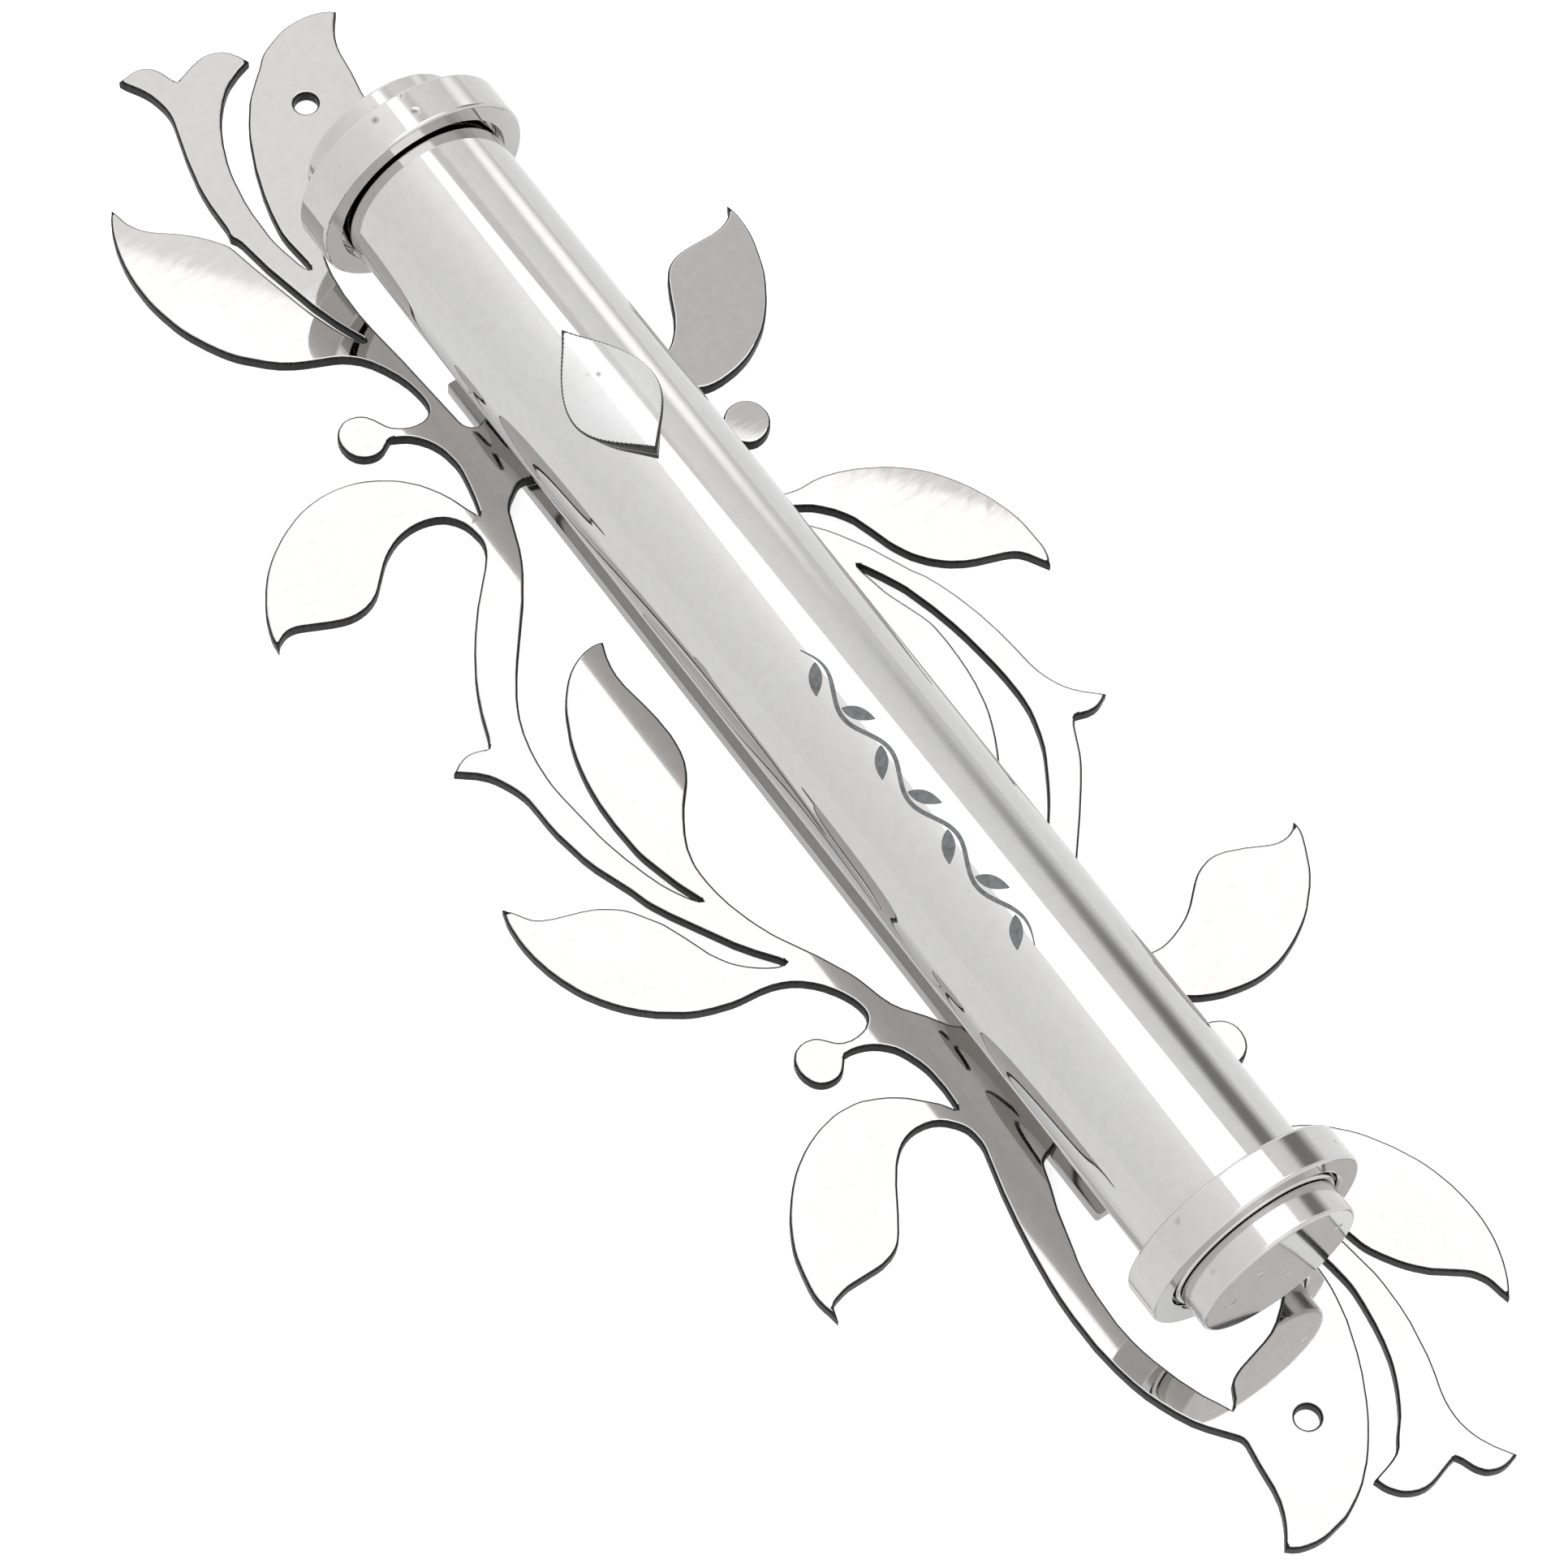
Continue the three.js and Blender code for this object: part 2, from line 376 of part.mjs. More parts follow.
// A plug with its shoulder at y = 0, its head above and its grooved spigot below.
function plug(head) {
  const e = PLUG_EDGE;
  const shoulder = STACK_GAP;
  return turned([
    0, -PLUG_SPIGOT_LENGTH,
    PLUG_SPIGOT_R - 0.5, -PLUG_SPIGOT_LENGTH,
    PLUG_SPIGOT_R, -PLUG_SPIGOT_LENGTH + 0.8,
    PLUG_SPIGOT_R, -SEAL_DEPTH - GROOVE_HALF,
    GROOVE_R, -SEAL_DEPTH - GROOVE_HALF,
    GROOVE_R, -SEAL_DEPTH + GROOVE_HALF,
    PLUG_SPIGOT_R, -SEAL_DEPTH + GROOVE_HALF,
    PLUG_SPIGOT_R, shoulder,
    PLUG_HEAD_R, shoulder,
    PLUG_HEAD_R, head - e,
    PLUG_HEAD_R - e, head,
    0, head,
  ]);
}
const seal = () =>
  new THREE.TorusGeometry(SEAL_MID_R, SEAL_WIRE_R, 10, 36).rotateX(Math.PI / 2).translate(0, -SEAL_DEPTH, 0);

for (const [which, y, turn, head] of [
  ["upper", TUBE_TOP_Y, 0, UPPER_PLUG_HEAD],
  ["lower", TUBE_BOTTOM_Y, Math.PI, LOWER_PLUG_HEAD],
]) {
  const end = new THREE.Group();
  end.position.y = y;
  end.rotation.z = turn;
  end.add(piece(which + "_end_plug", plug(head), STEEL, 0.12, 1));
  end.add(piece(which + "_seal_ring", seal(), 0x1c1c1c, 0.6, 0));
  onTube.add(end);
}

// Saddle posts: a short round post from the plate's front, hollowed to the tube.
function post() {
  const foot = PLATE_FRONT_Z + STACK_GAP - TUBE_Z;
  const body = solidOf(rodZ(POST_R, foot, POST_TOP - TUBE_Z, 0, 0, 36));
  const tubeRoom = solidOf(turned([0, -20, COLLAR_BORE_R, -20, COLLAR_BORE_R, 20, 0, 20]));
  const thread = solidOf(rodZ(POST_THREAD_R, foot - 1, POST_THREAD_TOP - TUBE_Z, 0, 0, 20));
  return geometryOf(body.subtract(tubeRoom).subtract(thread));
}
for (const [which, y] of Object.entries(screwYs)) {
  const saddle = piece(which + "_saddle_post", post(), 0xbdbbb7, 0.2, 1);
  saddle.position.y = y;
  onTube.add(saddle);
}

// The raised leaf follows the tube's round front.
function sprig() {
  const half = pairs(FRONT_LEAF_HALF);
  const whole = [
    ...half,
    ...half
      .slice(1, -1)
      .reverse()
      .map((p) => new THREE.Vector2(-p.x, p.y)),
  ];
  const onto = (p) =>
    new THREE.Vector2(FRONT_LEAF_OUTER_R * Math.sin((p.x + FRONT_LEAF_MID_ARC) / TUBE_R), p.y);
  const pulled = solidOf(plateOf(whole.map(onto), [], FRONT_LEAF_OUTER_R + 1));
  const shell = solidOf(
    turned([FRONT_LEAF_INNER_R, 20, FRONT_LEAF_OUTER_R, 20, FRONT_LEAF_OUTER_R, 44, FRONT_LEAF_INNER_R, 44], true),
  );
  return geometryOf(pulled.intersect(shell));
}
onTube.add(piece("front_sprig", sprig(), 0xe4e3e0, 0.15, 1));

// The parchment: one sheet rolled into a loose spiral.
function parchment() {
  const turns = (SCROLL_R - SCROLL_SHEET - SCROLL_CORE_R) / SCROLL_PITCH;
  const steps = Math.round(turns * 20);
  const outer = [];
  const inner = [];
  for (let i = 0; i <= steps; i++) {
    const a = (i / steps) * turns * 2 * Math.PI;
    const r = SCROLL_CORE_R + (i / steps) * turns * SCROLL_PITCH;
    inner.push(new THREE.Vector2(r * Math.cos(a), r * Math.sin(a)));
    outer.push(new THREE.Vector2((r + SCROLL_SHEET) * Math.cos(a), (r + SCROLL_SHEET) * Math.sin(a)));
  }
  return plateOf([...outer, ...inner.reverse()], [], SCROLL_LENGTH)
    .rotateX(Math.PI / 2)
    .translate(0, (TUBE_TOP_Y + TUBE_BOTTOM_Y) / 2 + SCROLL_LENGTH / 2, -SCROLL_DROP);
}
onTube.add(piece("parchment_scroll", parchment(), 0xe9dcc0, 0.8, 0));

const documentCase = new THREE.Group();
documentCase.add(flats, onTube);
export default documentCase;
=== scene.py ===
"""Looks for the wall-hung document case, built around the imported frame. Metres, the row's frame; the
dimension block below is in millimetres."""

import math

import bpy
import numpy as np
from mathutils import Matrix, Vector
from mathutils.geometry import delaunay_2d_cdt


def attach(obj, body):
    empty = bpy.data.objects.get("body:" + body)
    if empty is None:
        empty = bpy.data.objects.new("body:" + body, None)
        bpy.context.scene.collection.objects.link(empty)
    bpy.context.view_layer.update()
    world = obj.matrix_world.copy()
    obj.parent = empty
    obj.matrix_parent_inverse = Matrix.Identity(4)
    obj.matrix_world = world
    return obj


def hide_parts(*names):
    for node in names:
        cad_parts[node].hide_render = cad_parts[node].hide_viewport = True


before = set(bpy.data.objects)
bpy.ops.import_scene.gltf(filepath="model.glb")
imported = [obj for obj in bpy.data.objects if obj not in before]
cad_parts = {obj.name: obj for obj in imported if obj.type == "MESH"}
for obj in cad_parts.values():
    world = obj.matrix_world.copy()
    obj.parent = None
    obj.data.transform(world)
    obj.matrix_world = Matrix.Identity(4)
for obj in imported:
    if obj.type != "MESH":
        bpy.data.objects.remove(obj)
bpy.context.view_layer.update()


# ---- dimensions, mm ---------------------------------------------------------------------
TUBE_X, TUBE_Z, TUBE_R, BORE_R = 1.44, 15.83, 9.5, 8.0
TUBE_TOP, TUBE_BOTTOM = 72.35, -75.68
PLATE_BACK, PLATE_FRONT = 1.6, 3.1
POST_Y = 43.7

# ---- the vine plate's edges, x and y in turn ----------------------------------------------
VINE_EDGE = [
  12.65,-104.26, 13.21,-104.14, 12.88,-103.62, 11.98,-102.19, 11.35,-100.84, 11.11,-100.14, 10.93,-99.41,
  10.79,-98.44, 10.77,-97.69, 10.84,-96.69, 11,-95.72, 11.27,-94.75, 11.93,-92.88, 12.44,-91.19, 13.2,-87.53,
  13.43,-85.56, 13.54,-82.83, 13.5,-81.33, 12.84,-76.16, 11.57,-70.05, 11.26,-68.84, 10.54,-66.45,
  10.02,-65.05, 9.27,-63.21, 9.09,-62.55, 9.6,-62.88, 9.88,-63.25, 10.12,-63.67, 10.88,-65.53, 11.62,-67.64,
  12.29,-70.05, 14.11,-78.08, 14.26,-78.55, 14.54,-79.22, 15.13,-80.33, 15.91,-81.61, 16.48,-82.42,
  17.12,-83.19, 18.16,-84.27, 20.73,-86.22, 21.28,-86.72, 21.59,-87.11, 21.96,-87.75, 22.16,-88.19,
  22.29,-88.67, 22.52,-90.12, 22.57,-90.26, 22.71,-90.98, 23.16,-90.36, 23.28,-90.22, 23.82,-89.41,
  24.29,-88.52, 24.79,-87.38, 25.19,-86.19, 25.46,-85.23, 25.64,-84.25, 25.8,-83.03, 25.84,-82.03,
  25.82,-80.78, 25.7,-79.3, 25.53,-78.06, 25.09,-76.11, 24.73,-74.92, 24.38,-74, 23.32,-71.73, 21.91,-69.36,
  21.34,-68.55, 20.71,-67.78, 19.34,-66.33, 18.02,-65.19, 16.98,-64.52, 15.88,-63.95, 13.36,-62.84,
  12.49,-62.38, 11.68,-61.8, 10.79,-60.92, 10.05,-59.91, 9.35,-58.6, 8.77,-57.23, 8.41,-56.03, 8.18,-54.81,
  8.07,-53.82, 8.05,-53.09, 8.16,-52.37, 8.35,-51.94, 8.66,-51.59, 9.04,-51.35, 9.75,-51.21, 10.48,-51.25,
  11.19,-51.46, 11.84,-51.81, 12.44,-52.24, 12.92,-52.78, 13.53,-54.07, 13.91,-54.7, 14.4,-55.23, 14.8,-55.5,
  15.49,-55.77, 16.21,-55.81, 16.89,-55.62, 17.5,-55.23, 17.84,-54.88, 18.12,-54.46, 18.3,-54.02,
  18.43,-53.3, 18.39,-52.57, 18.25,-52.1, 18.03,-51.69, 17.73,-51.3, 17.36,-50.99, 16.71,-50.63,
  16.25,-50.48, 15.78,-50.41, 15.29,-50.45, 14.85,-50.6, 13.58,-51.3, 12.69,-50.87, 12.05,-50.46,
  11.68,-50.16, 11.17,-49.62, 10.59,-48.8, 10.23,-48.14, 9.96,-47.45, 9.78,-46.73, 9.62,-45.75, 9.57,-44.77,
  9.62,-44.02, 9.77,-43.03, 10.07,-41.57, 10.35,-40.62, 10.68,-39.96, 11.12,-39.41, 11.41,-39.77,
  11.62,-40.19, 12.09,-41.59, 12.48,-42.52, 12.82,-43.17, 13.46,-44.24, 13.88,-44.87, 14.51,-45.62,
  15.2,-46.34, 15.95,-46.99, 16.75,-47.57, 17.39,-47.95, 18.52,-48.5, 19.45,-48.87, 21.14,-49.3,
  22.11,-49.48, 23.09,-49.59, 24.09,-49.59, 25.07,-49.49, 26.05,-49.32, 27,-49.05, 28.16,-48.59, 29.3,-48.05,
  30.59,-47.3, 31.41,-46.75, 32.19,-46.12, 33.94,-44.34, 34.7,-43.38, 35.26,-42.55, 36.29,-40.55,
  36.8,-39.42, 37.02,-38.71, 37.06,-38.29, 37.03,-37.44, 36.62,-37.96, 35.87,-38.3, 35.41,-38.45,
  34.94,-38.5, 34.2,-38.44, 33.73,-38.31, 33.27,-38.12, 31.05,-36.98, 29.21,-36.24, 28.5,-36.05, 28,-35.98,
  27.52,-35.96, 27.03,-36.02, 26.07,-36.3, 25.39,-36.62, 24.98,-36.88, 24.39,-37.34, 22.55,-39.02,
  21.75,-39.62, 21.12,-40, 20.21,-40.42, 19.04,-40.85, 18.07,-41.1, 17.34,-41.19, 16.59,-41.14, 15.87,-41,
  15.16,-40.77, 14.71,-40.55, 14.11,-40.14, 13.75,-39.8, 13.29,-39.21, 13.05,-38.8, 12.78,-38.1,
  12.61,-37.38, 12.51,-36.64, 12.51,-35.91, 12.62,-34.94, 12.77,-34.23, 13.03,-33.55, 13.58,-32.42,
  14.44,-30.9, 15.16,-29.88, 16.41,-28.33, 19.48,-24.73, 21.66,-22.02, 22.71,-20.61, 23.27,-19.79,
  23.77,-18.92, 25.05,-16.22, 25.32,-15.82, 25.8,-15.25, 27.18,-15.69, 27.91,-15.76, 28.39,-15.69,
  28.84,-15.54, 29.29,-15.33, 29.45,-15.22, 29.97,-14.98, 29.51,-14.55, 28.29,-13.44, 27.46,-12.51,
  27.04,-11.9, 26.68,-11.25, 26.37,-10.57, 26.11,-9.87, 25.84,-8.91, 25.64,-7.67, 25.48,-5.44, 25.2,-2.73,
  24.75,-0.02, 24.05,2.88, 23.37,5.02, 22.73,6.64, 21.91,8.07, 19.89,12.64, 18.3,15.46, 17.5,16.73,
  15.62,19.07, 14.76,20.28, 14.24,21.14, 14.62,21.3, 15.05,21.35, 15.5,21.25, 16.14,20.92, 17.21,20.27,
  17.82,19.84, 18.52,19.14, 19.32,18.2, 20,17.14, 20.46,16.27, 21.14,14.12, 21.75,11.96, 22.02,11.26,
  22.54,10.13, 22.89,9.47, 23.32,8.87, 23.93,8.07, 24.44,7.53, 25.16,6.86, 25.75,6.39, 27,5.6, 28.14,5.08,
  30.96,4.08, 31.64,3.77, 32.06,3.51, 32.44,3.19, 32.9,2.61, 33.86,0.96, 34.21,0.35, 34.45,0.94, 34.54,1.05,
  34.73,1.5, 34.91,2.2, 34.97,2.94, 34.9,5.92, 34.77,6.91, 34.52,8.12, 33.87,10.27, 32.99,12.34, 32.41,13.44,
  31.77,14.51, 31.09,15.55, 30.32,16.54, 29.64,17.28, 28.93,17.96, 27.39,19.23, 26.77,19.64, 25.48,20.42,
  23.95,21.23, 22.32,21.87, 20.89,22.28, 19.66,22.45, 18.18,22.45, 17.45,22.52, 16.48,22.77, 15.35,23.27,
  14.51,23.8, 13.59,24.64, 12.78,25.58, 12.1,26.62, 11.62,27.5, 11.34,28.19, 11.12,28.89, 11.01,29.62,
  11.04,30.34, 11.21,30.77, 11.51,31.14, 11.88,31.43, 12.33,31.62, 13.04,31.78, 13.78,31.78, 14.5,31.62,
  14.94,31.43, 15.34,31.14, 16.28,30.03, 16.64,29.71, 17.07,29.51, 17.54,29.39, 18.25,29.45, 18.73,29.6,
  19.16,29.82, 19.75,30.26, 20.18,30.84, 20.37,31.29, 20.46,31.77, 20.48,32.25, 20.34,32.97, 20.16,33.41,
  19.89,33.81, 19.55,34.15, 18.91,34.48, 18.45,34.61, 17.96,34.62, 17.48,34.55, 17.03,34.41, 16.43,34.01,
  15.29,32.73, 14.54,32.8, 13.83,32.97, 13.13,33.23, 12.49,33.59, 11.88,34.02, 11.35,34.55, 10.88,35.12,
  10.52,35.77, 9.98,37.16, 9.62,38.36, 9.48,39.34, 9.4,40.58, 9.44,41.3, 9.58,41.75, 9.85,42.12, 10.38,42.58,
  12.67,40.3, 13.82,39.34, 15.09,38.55, 16.64,37.84, 17.07,37.7, 17.75,37.59, 18.73,37.56, 19.73,37.66,
  20.71,37.8, 21.44,37.98, 22.39,38.27, 23.07,38.56, 23.96,39.02, 25.02,39.69, 25.82,40.27, 26.55,40.95,
  27.25,41.68, 27.89,42.44, 28.48,43.23, 29.55,44.91, 30.14,46.01, 30.53,46.93, 31.25,49.05, 31.53,50.02,
  31.73,50.98, 31.84,51.97, 31.9,53.45, 31.83,54.13, 31.8,54.19, 31.63,55.09, 31.25,54.3, 30.96,53.97,
  30.59,53.66, 30.16,53.44, 29.46,53.2, 28.23,53.02, 25.75,53.09, 24.25,53.04, 23.53,52.88, 23.05,52.73,
  22.61,52.52, 22.19,52.27, 21.64,51.77, 21.05,50.98, 20.21,49.45, 19.03,46.98, 18.21,45.72, 17.73,45.15,
  17.03,44.45, 16.44,44.01, 15.78,43.66, 15.08,43.44, 14.1,43.34, 13.12,43.47, 12.42,43.7, 11.78,44.05,
  11.21,44.55, 10.59,45.3, 10.21,45.95, 10.04,46.4, 9.9,47.12, 9.86,47.87, 9.91,48.61, 10.07,49.34,
  11.27,53.66, 12.03,57.06, 12.58,60.01, 13.11,63.7, 13.29,65.67, 13.44,68.17, 13.41,71.91, 13.11,74.88,
  12.71,77.08, 12.29,78.78, 11.73,80.42, 11.07,82.05, 10.28,83.61, 9.45,84.84, 7.58,87.17, 7.36,87.59,
  7.27,88.03, 7.34,88.75, 7.86,91.44, 8.2,94.14, 8.43,95.11, 8.79,96.03, 9.27,96.92, 9.82,97.75, 10.38,98.46,
  10.76,98.96, 10.28,99.24, 10.15,99.34, 9.5,99.7, 8.55,100.03, 7.58,100.22, 6.59,100.28, 5.6,100.25,
  4.86,100.14, 3.9,99.88, 2.06,99.11, 1.4,98.77, 0.99,98.5, 0.61,98.17, -0.24,97.28, -1.36,96.3, -2.96,94.78,
  -3.46,94.23, -4.88,92.19, -5.66,90.92, -6.12,90.03, -7.54,86.84, -8.65,83.53, -9.2,81.36, -9.56,79.39,
  -9.68,78.42, -9.67,77.17, -9.38,73.97, -9.46,73.02, -9.87,73.5, -10.14,74.41, -10.6,76.86, -10.77,78.09,
  -10.81,78.83, -10.74,82.3, -10.58,84.03, -10.06,86.97, -9.82,87.94, -9.46,89.12, -8.62,91.22, -7.61,93.22,
  -6.79,94.47, -5.69,95.81, -4.61,96.84, -3.79,97.42, -2.23,98.19, -1.13,98.56, -0.58,98.74, -0.82,99.24,
  -1.07,99.86, -1.46,100.5, -1.75,100.89, -2.1,101.22, -2.51,101.5, -2.96,101.72, -3.42,101.88, -4.15,102,
  -4.62,101.97, -5.12,101.89, -6.07,101.64, -7.7,101.02, -8.39,100.81, -8.71,101.42, -9.07,102.59,
  -9.27,103.05, -9.67,103.66, -10.22,104.12, -10.66,104.34, -11.13,104.47, -11.85,104.48, -12.56,104.34,
  -13.53,104.27, -13.14,103.44, -12.4,102.2, -12.07,101.53, -11.8,100.84, -11.62,100.11, -11.48,99.38,
  -11.39,98.64, -11.38,97.91, -11.46,97.17, -11.63,96.44, -12.96,91.89, -13.73,88.47, -13.91,87.25,
  -14.07,85.52, -14.14,82.28, -14.21,81.78, -14.39,81.08, -14.02,80.47, -13.82,79.8, -13.24,75.61,
  -11.89,69.27, -10.96,66.16, -10.35,64.53, -9.77,63.16, -9.63,62.7, -9.56,62.27, -9.92,62.54, -10.22,62.88,
  -10.7,63.73, -11.45,65.59, -12.31,68.2, -12.71,69.64, -13.55,73.28, -14.26,76.45, -14.88,79.62,
  -15.08,80.31, -15.3,80.72, -16.29,82.14, -17.25,83.28, -18.5,84.48, -20.84,86.34, -21.36,86.88,
  -21.68,87.25, -22.07,87.89, -22.39,88.56, -22.54,89.03, -22.75,90.22, -22.8,90.34, -22.93,91.02,
  -23.32,90.44, -23.45,90.3, -23.84,89.67, -24.3,88.8, -24.68,87.86, -25.09,86.69, -25.41,85.48,
  -25.66,84.27, -25.82,83.03, -25.91,81.78, -25.91,80.3, -25.88,79.3, -25.77,78.31, -25.62,77.33,
  -25.22,75.38, -24.96,74.41, -24.54,73.23, -23.72,71.42, -23.02,70.09, -22.5,69.23, -21.93,68.42,
  -21.45,67.86, -19.72,66.06, -18.59,65.09, -17.34,64.27, -16.23,63.7, -13.71,62.59, -12.84,62.12,
  -12.05,61.52, -11.34,60.83, -10.59,59.84, -9.88,58.52, -9.2,56.93, -8.84,55.73, -8.66,54.76, -8.54,53.77,
  -8.51,53.02, -8.59,52.3, -8.76,51.86, -8.88,51.66, -9.21,51.33, -9.62,51.12, -10.09,51.02, -10.82,51.05,
  -11.54,51.23, -12.2,51.55, -12.8,51.98, -13.16,52.3, -13.45,52.7, -14.05,53.98, -14.45,54.61, -14.77,54.97,
  -15.38,55.37, -16.07,55.59, -16.79,55.62, -17.25,55.48, -17.88,55.12, -18.22,54.77, -18.48,54.38,
  -18.66,53.93, -18.79,53.2, -18.73,52.47, -18.62,51.98, -18.29,51.34, -17.97,50.98, -17.59,50.68,
  -17.16,50.45, -16.7,50.29, -16.23,50.23, -15.75,50.27, -15.3,50.41, -14.04,51.12, -13.14,50.66,
  -12.51,50.27, -12.13,49.95, -11.62,49.41, -11.04,48.61, -10.7,47.95, -10.42,47.26, -10.24,46.54,
  -10.04,45.05, -10.04,44.31, -10.12,43.56, -10.38,42.11, -10.77,40.41, -11.12,39.2, -11.46,38.27,
  -12.09,39.95, -12.62,41.59, -13.26,42.95, -14.04,44.23, -14.46,44.84, -15.29,45.77, -16,46.47,
  -16.79,47.09, -17.82,47.77, -18.91,48.37, -19.84,48.77, -20.79,49.05, -22,49.3, -22.98,49.41, -23.97,49.41,
  -25.2,49.29, -26.43,49.04, -27.38,48.73, -28.97,48.04, -30.07,47.44, -31.32,46.62, -32.12,46.02,
  -33.05,45.19, -33.73,44.47, -34.66,43.29, -35.62,41.84, -36.23,40.75, -36.71,39.59, -37.09,38.41,
  -37.2,37.72, -37.19,37.6, -37.32,36.63, -36.68,37.38, -36.53,37.48, -35.88,37.81, -35.41,37.93,
  -34.94,37.94, -34.45,37.84, -33.99,37.68, -31.07,36.29, -29.91,35.84, -29.2,35.66, -28.45,35.58,
  -27.96,35.59, -27.22,35.68, -26.29,35.98, -25.43,36.47, -24.86,36.95, -22.73,39.05, -22.16,39.52,
  -21.54,39.93, -20.66,40.4, -19.97,40.68, -19.25,40.87, -18.27,41, -17.52,41, -16.79,40.91, -16.07,40.73,
  -15.38,40.47, -14.73,40.09, -14.37,39.77, -13.88,39.2, -13.5,38.56, -13.31,38.12, -13.12,37.4,
  -12.96,36.18, -12.98,35.68, -13.07,35.2, -13.34,34.52, -13.73,33.88, -14.5,32.91, -17.75,29.46,
  -19.77,26.94, -21.06,25.11, -22.52,22.79, -23.45,21.02, -24.36,18.96, -25.29,16.38, -25.88,15.29,
  -27.2,15.76, -27.68,15.85, -28.16,15.87, -28.64,15.79, -29.34,15.54, -29.75,15.3, -29.9,15.19,
  -30.41,14.92, -29.91,14.52, -28.61,13.49, -27.77,12.58, -27.36,11.96, -27.02,11.3, -26.61,10.39,
  -26.34,9.69, -26.07,8.73, -25.95,8, -25.88,6.52, -25.84,4.79, -25.72,3.29, -25.09,-0.39, -24.64,-2.06,
  -23.16,-6.04, -22.61,-7.93, -22.34,-8.62, -21.48,-10.43, -18,-16.77, -16.75,-18.64, -15.24,-20.61,
  -14.76,-21.42, -15.21,-21.39, -15.65,-21.29, -16.09,-21.09, -16.73,-20.71, -17.54,-20.12, -18.29,-19.47,
  -18.98,-18.75, -19.45,-18.17, -19.97,-17.33, -20.54,-16.22, -21.52,-13.4, -22.43,-11.08, -22.8,-10.43,
  -24.14,-8.33, -24.75,-7.54, -25.29,-7.04, -25.88,-6.58, -26.7,-6.01, -27.34,-5.64, -28.5,-5.15,
  -31.34,-4.19, -32.45,-3.66, -32.84,-3.37, -33.2,-3.03, -33.48,-2.62, -34.26,-1.36, -34.58,-1.03,
  -34.52,-1.09, -34.95,-0.49, -35.16,-1.26, -35.23,-1.42, -35.41,-2.12, -35.51,-2.85, -35.6,-4.34,
  -35.58,-5.33, -35.44,-6.83, -35.06,-8.79, -34.56,-10.45, -33.92,-12.08, -33.49,-12.98, -32.59,-14.46,
  -31.86,-15.49, -31.09,-16.45, -30.06,-17.54, -28.77,-18.71, -26.52,-20.29, -25.88,-20.67, -25.21,-21,
  -23.82,-21.54, -21.91,-22.11, -20.93,-22.29, -18.71,-22.52, -17.5,-22.77, -16.55,-23.11, -15.66,-23.54,
  -14.84,-24.11, -13.93,-24.95, -13.29,-25.7, -12.59,-26.74, -12.12,-27.62, -11.74,-28.54, -11.55,-29.25,
  -11.46,-29.98, -11.5,-30.46, -11.65,-30.9, -11.93,-31.27, -12.5,-31.7, -12.96,-31.86, -13.68,-31.97,
  -14.42,-31.95, -15.12,-31.75, -15.55,-31.52, -15.92,-31.21, -16.7,-30.27, -17.05,-29.95, -17.47,-29.7,
  -18.18,-29.52, -18.89,-29.54, -19.57,-29.77, -19.96,-30.04, -20.41,-30.61, -20.59,-31.05, -20.7,-31.52,
  -20.75,-32.02, -20.66,-32.74, -20.41,-33.44, -20.16,-33.84, -19.82,-34.2, -19.43,-34.45, -18.97,-34.63,
  -18.5,-34.71, -18.02,-34.71, -17.55,-34.6, -17.13,-34.38, -16.77,-34.07, -15.81,-32.95, -15.08,-32.98,
  -14.37,-33.13, -13.66,-33.39, -13.01,-33.73, -12.4,-34.17, -11.87,-34.69, -11.39,-35.25, -11.02,-35.89,
  -10.72,-36.59, -10.31,-37.75, -10.06,-38.73, -9.96,-39.45, -9.85,-41.45, -9.93,-43.17, -10.07,-44.14,
  -10.34,-43.8, -10.95,-42.8, -11.25,-42.42, -12.97,-40.63, -13.52,-40.12, -14.31,-39.52, -15.14,-38.98,
  -16.02,-38.52, -17.36,-37.94, -18.02,-37.78, -19.23,-37.66, -19.97,-37.62, -20.72,-37.67, -22.43,-38.02,
  -23.38,-38.34, -24.29,-38.7, -25.41,-39.28, -26.66,-40.09, -27.45,-40.7, -28.36,-41.55, -29.2,-42.46,
  -30.3,-43.82, -30.86,-44.64, -31.61,-45.94, -32.16,-47.05, -32.51,-47.98, -32.89,-49.44, -33.24,-51.14,
  -33.37,-52.12, -33.37,-52.88, -33.24,-53.85, -33.13,-54.27, -32.91,-55.77, -32.42,-54.24, -32.08,-53.99,
  -31.66,-53.82, -30.73,-53.57, -30,-53.45, -29.52,-53.44, -26.54,-53.49, -25.81,-53.45, -24.63,-53.16,
  -24.18,-52.96, -23.75,-52.73, -23.18,-52.27, -22.54,-51.5, -21.41,-49.87, -19.8,-47.34, -18.61,-45.74,
  -18.11,-45.2, -17.38,-44.53, -16.77,-44.1, -16.09,-43.78, -15.38,-43.59, -14.65,-43.53, -13.67,-43.64,
  -12.96,-43.85, -12.31,-44.2, -11.74,-44.67, -11.1,-45.42, -10.71,-46.05, -10.52,-46.52, -10.38,-47.23,
  -10.32,-48.23, -10.4,-48.96, -11.71,-53.77, -12.47,-57.17, -13.06,-60.35, -13.59,-64.06, -13.79,-66.03,
  -13.9,-68.27, -13.88,-72.02, -13.58,-74.98, -13.2,-77.19, -12.79,-78.89, -12.22,-80.53, -11.56,-82.16,
  -10.79,-83.72, -9.96,-84.97, -7.97,-87.5, -7.79,-87.91, -7.75,-88.38, -8.14,-90.8, -8.46,-93.53,
  -8.8,-94.97, -9.27,-96.12, -9.74,-97, -10.15,-97.64, -11.18,-99.03, -10.66,-99.5, -10.04,-99.88,
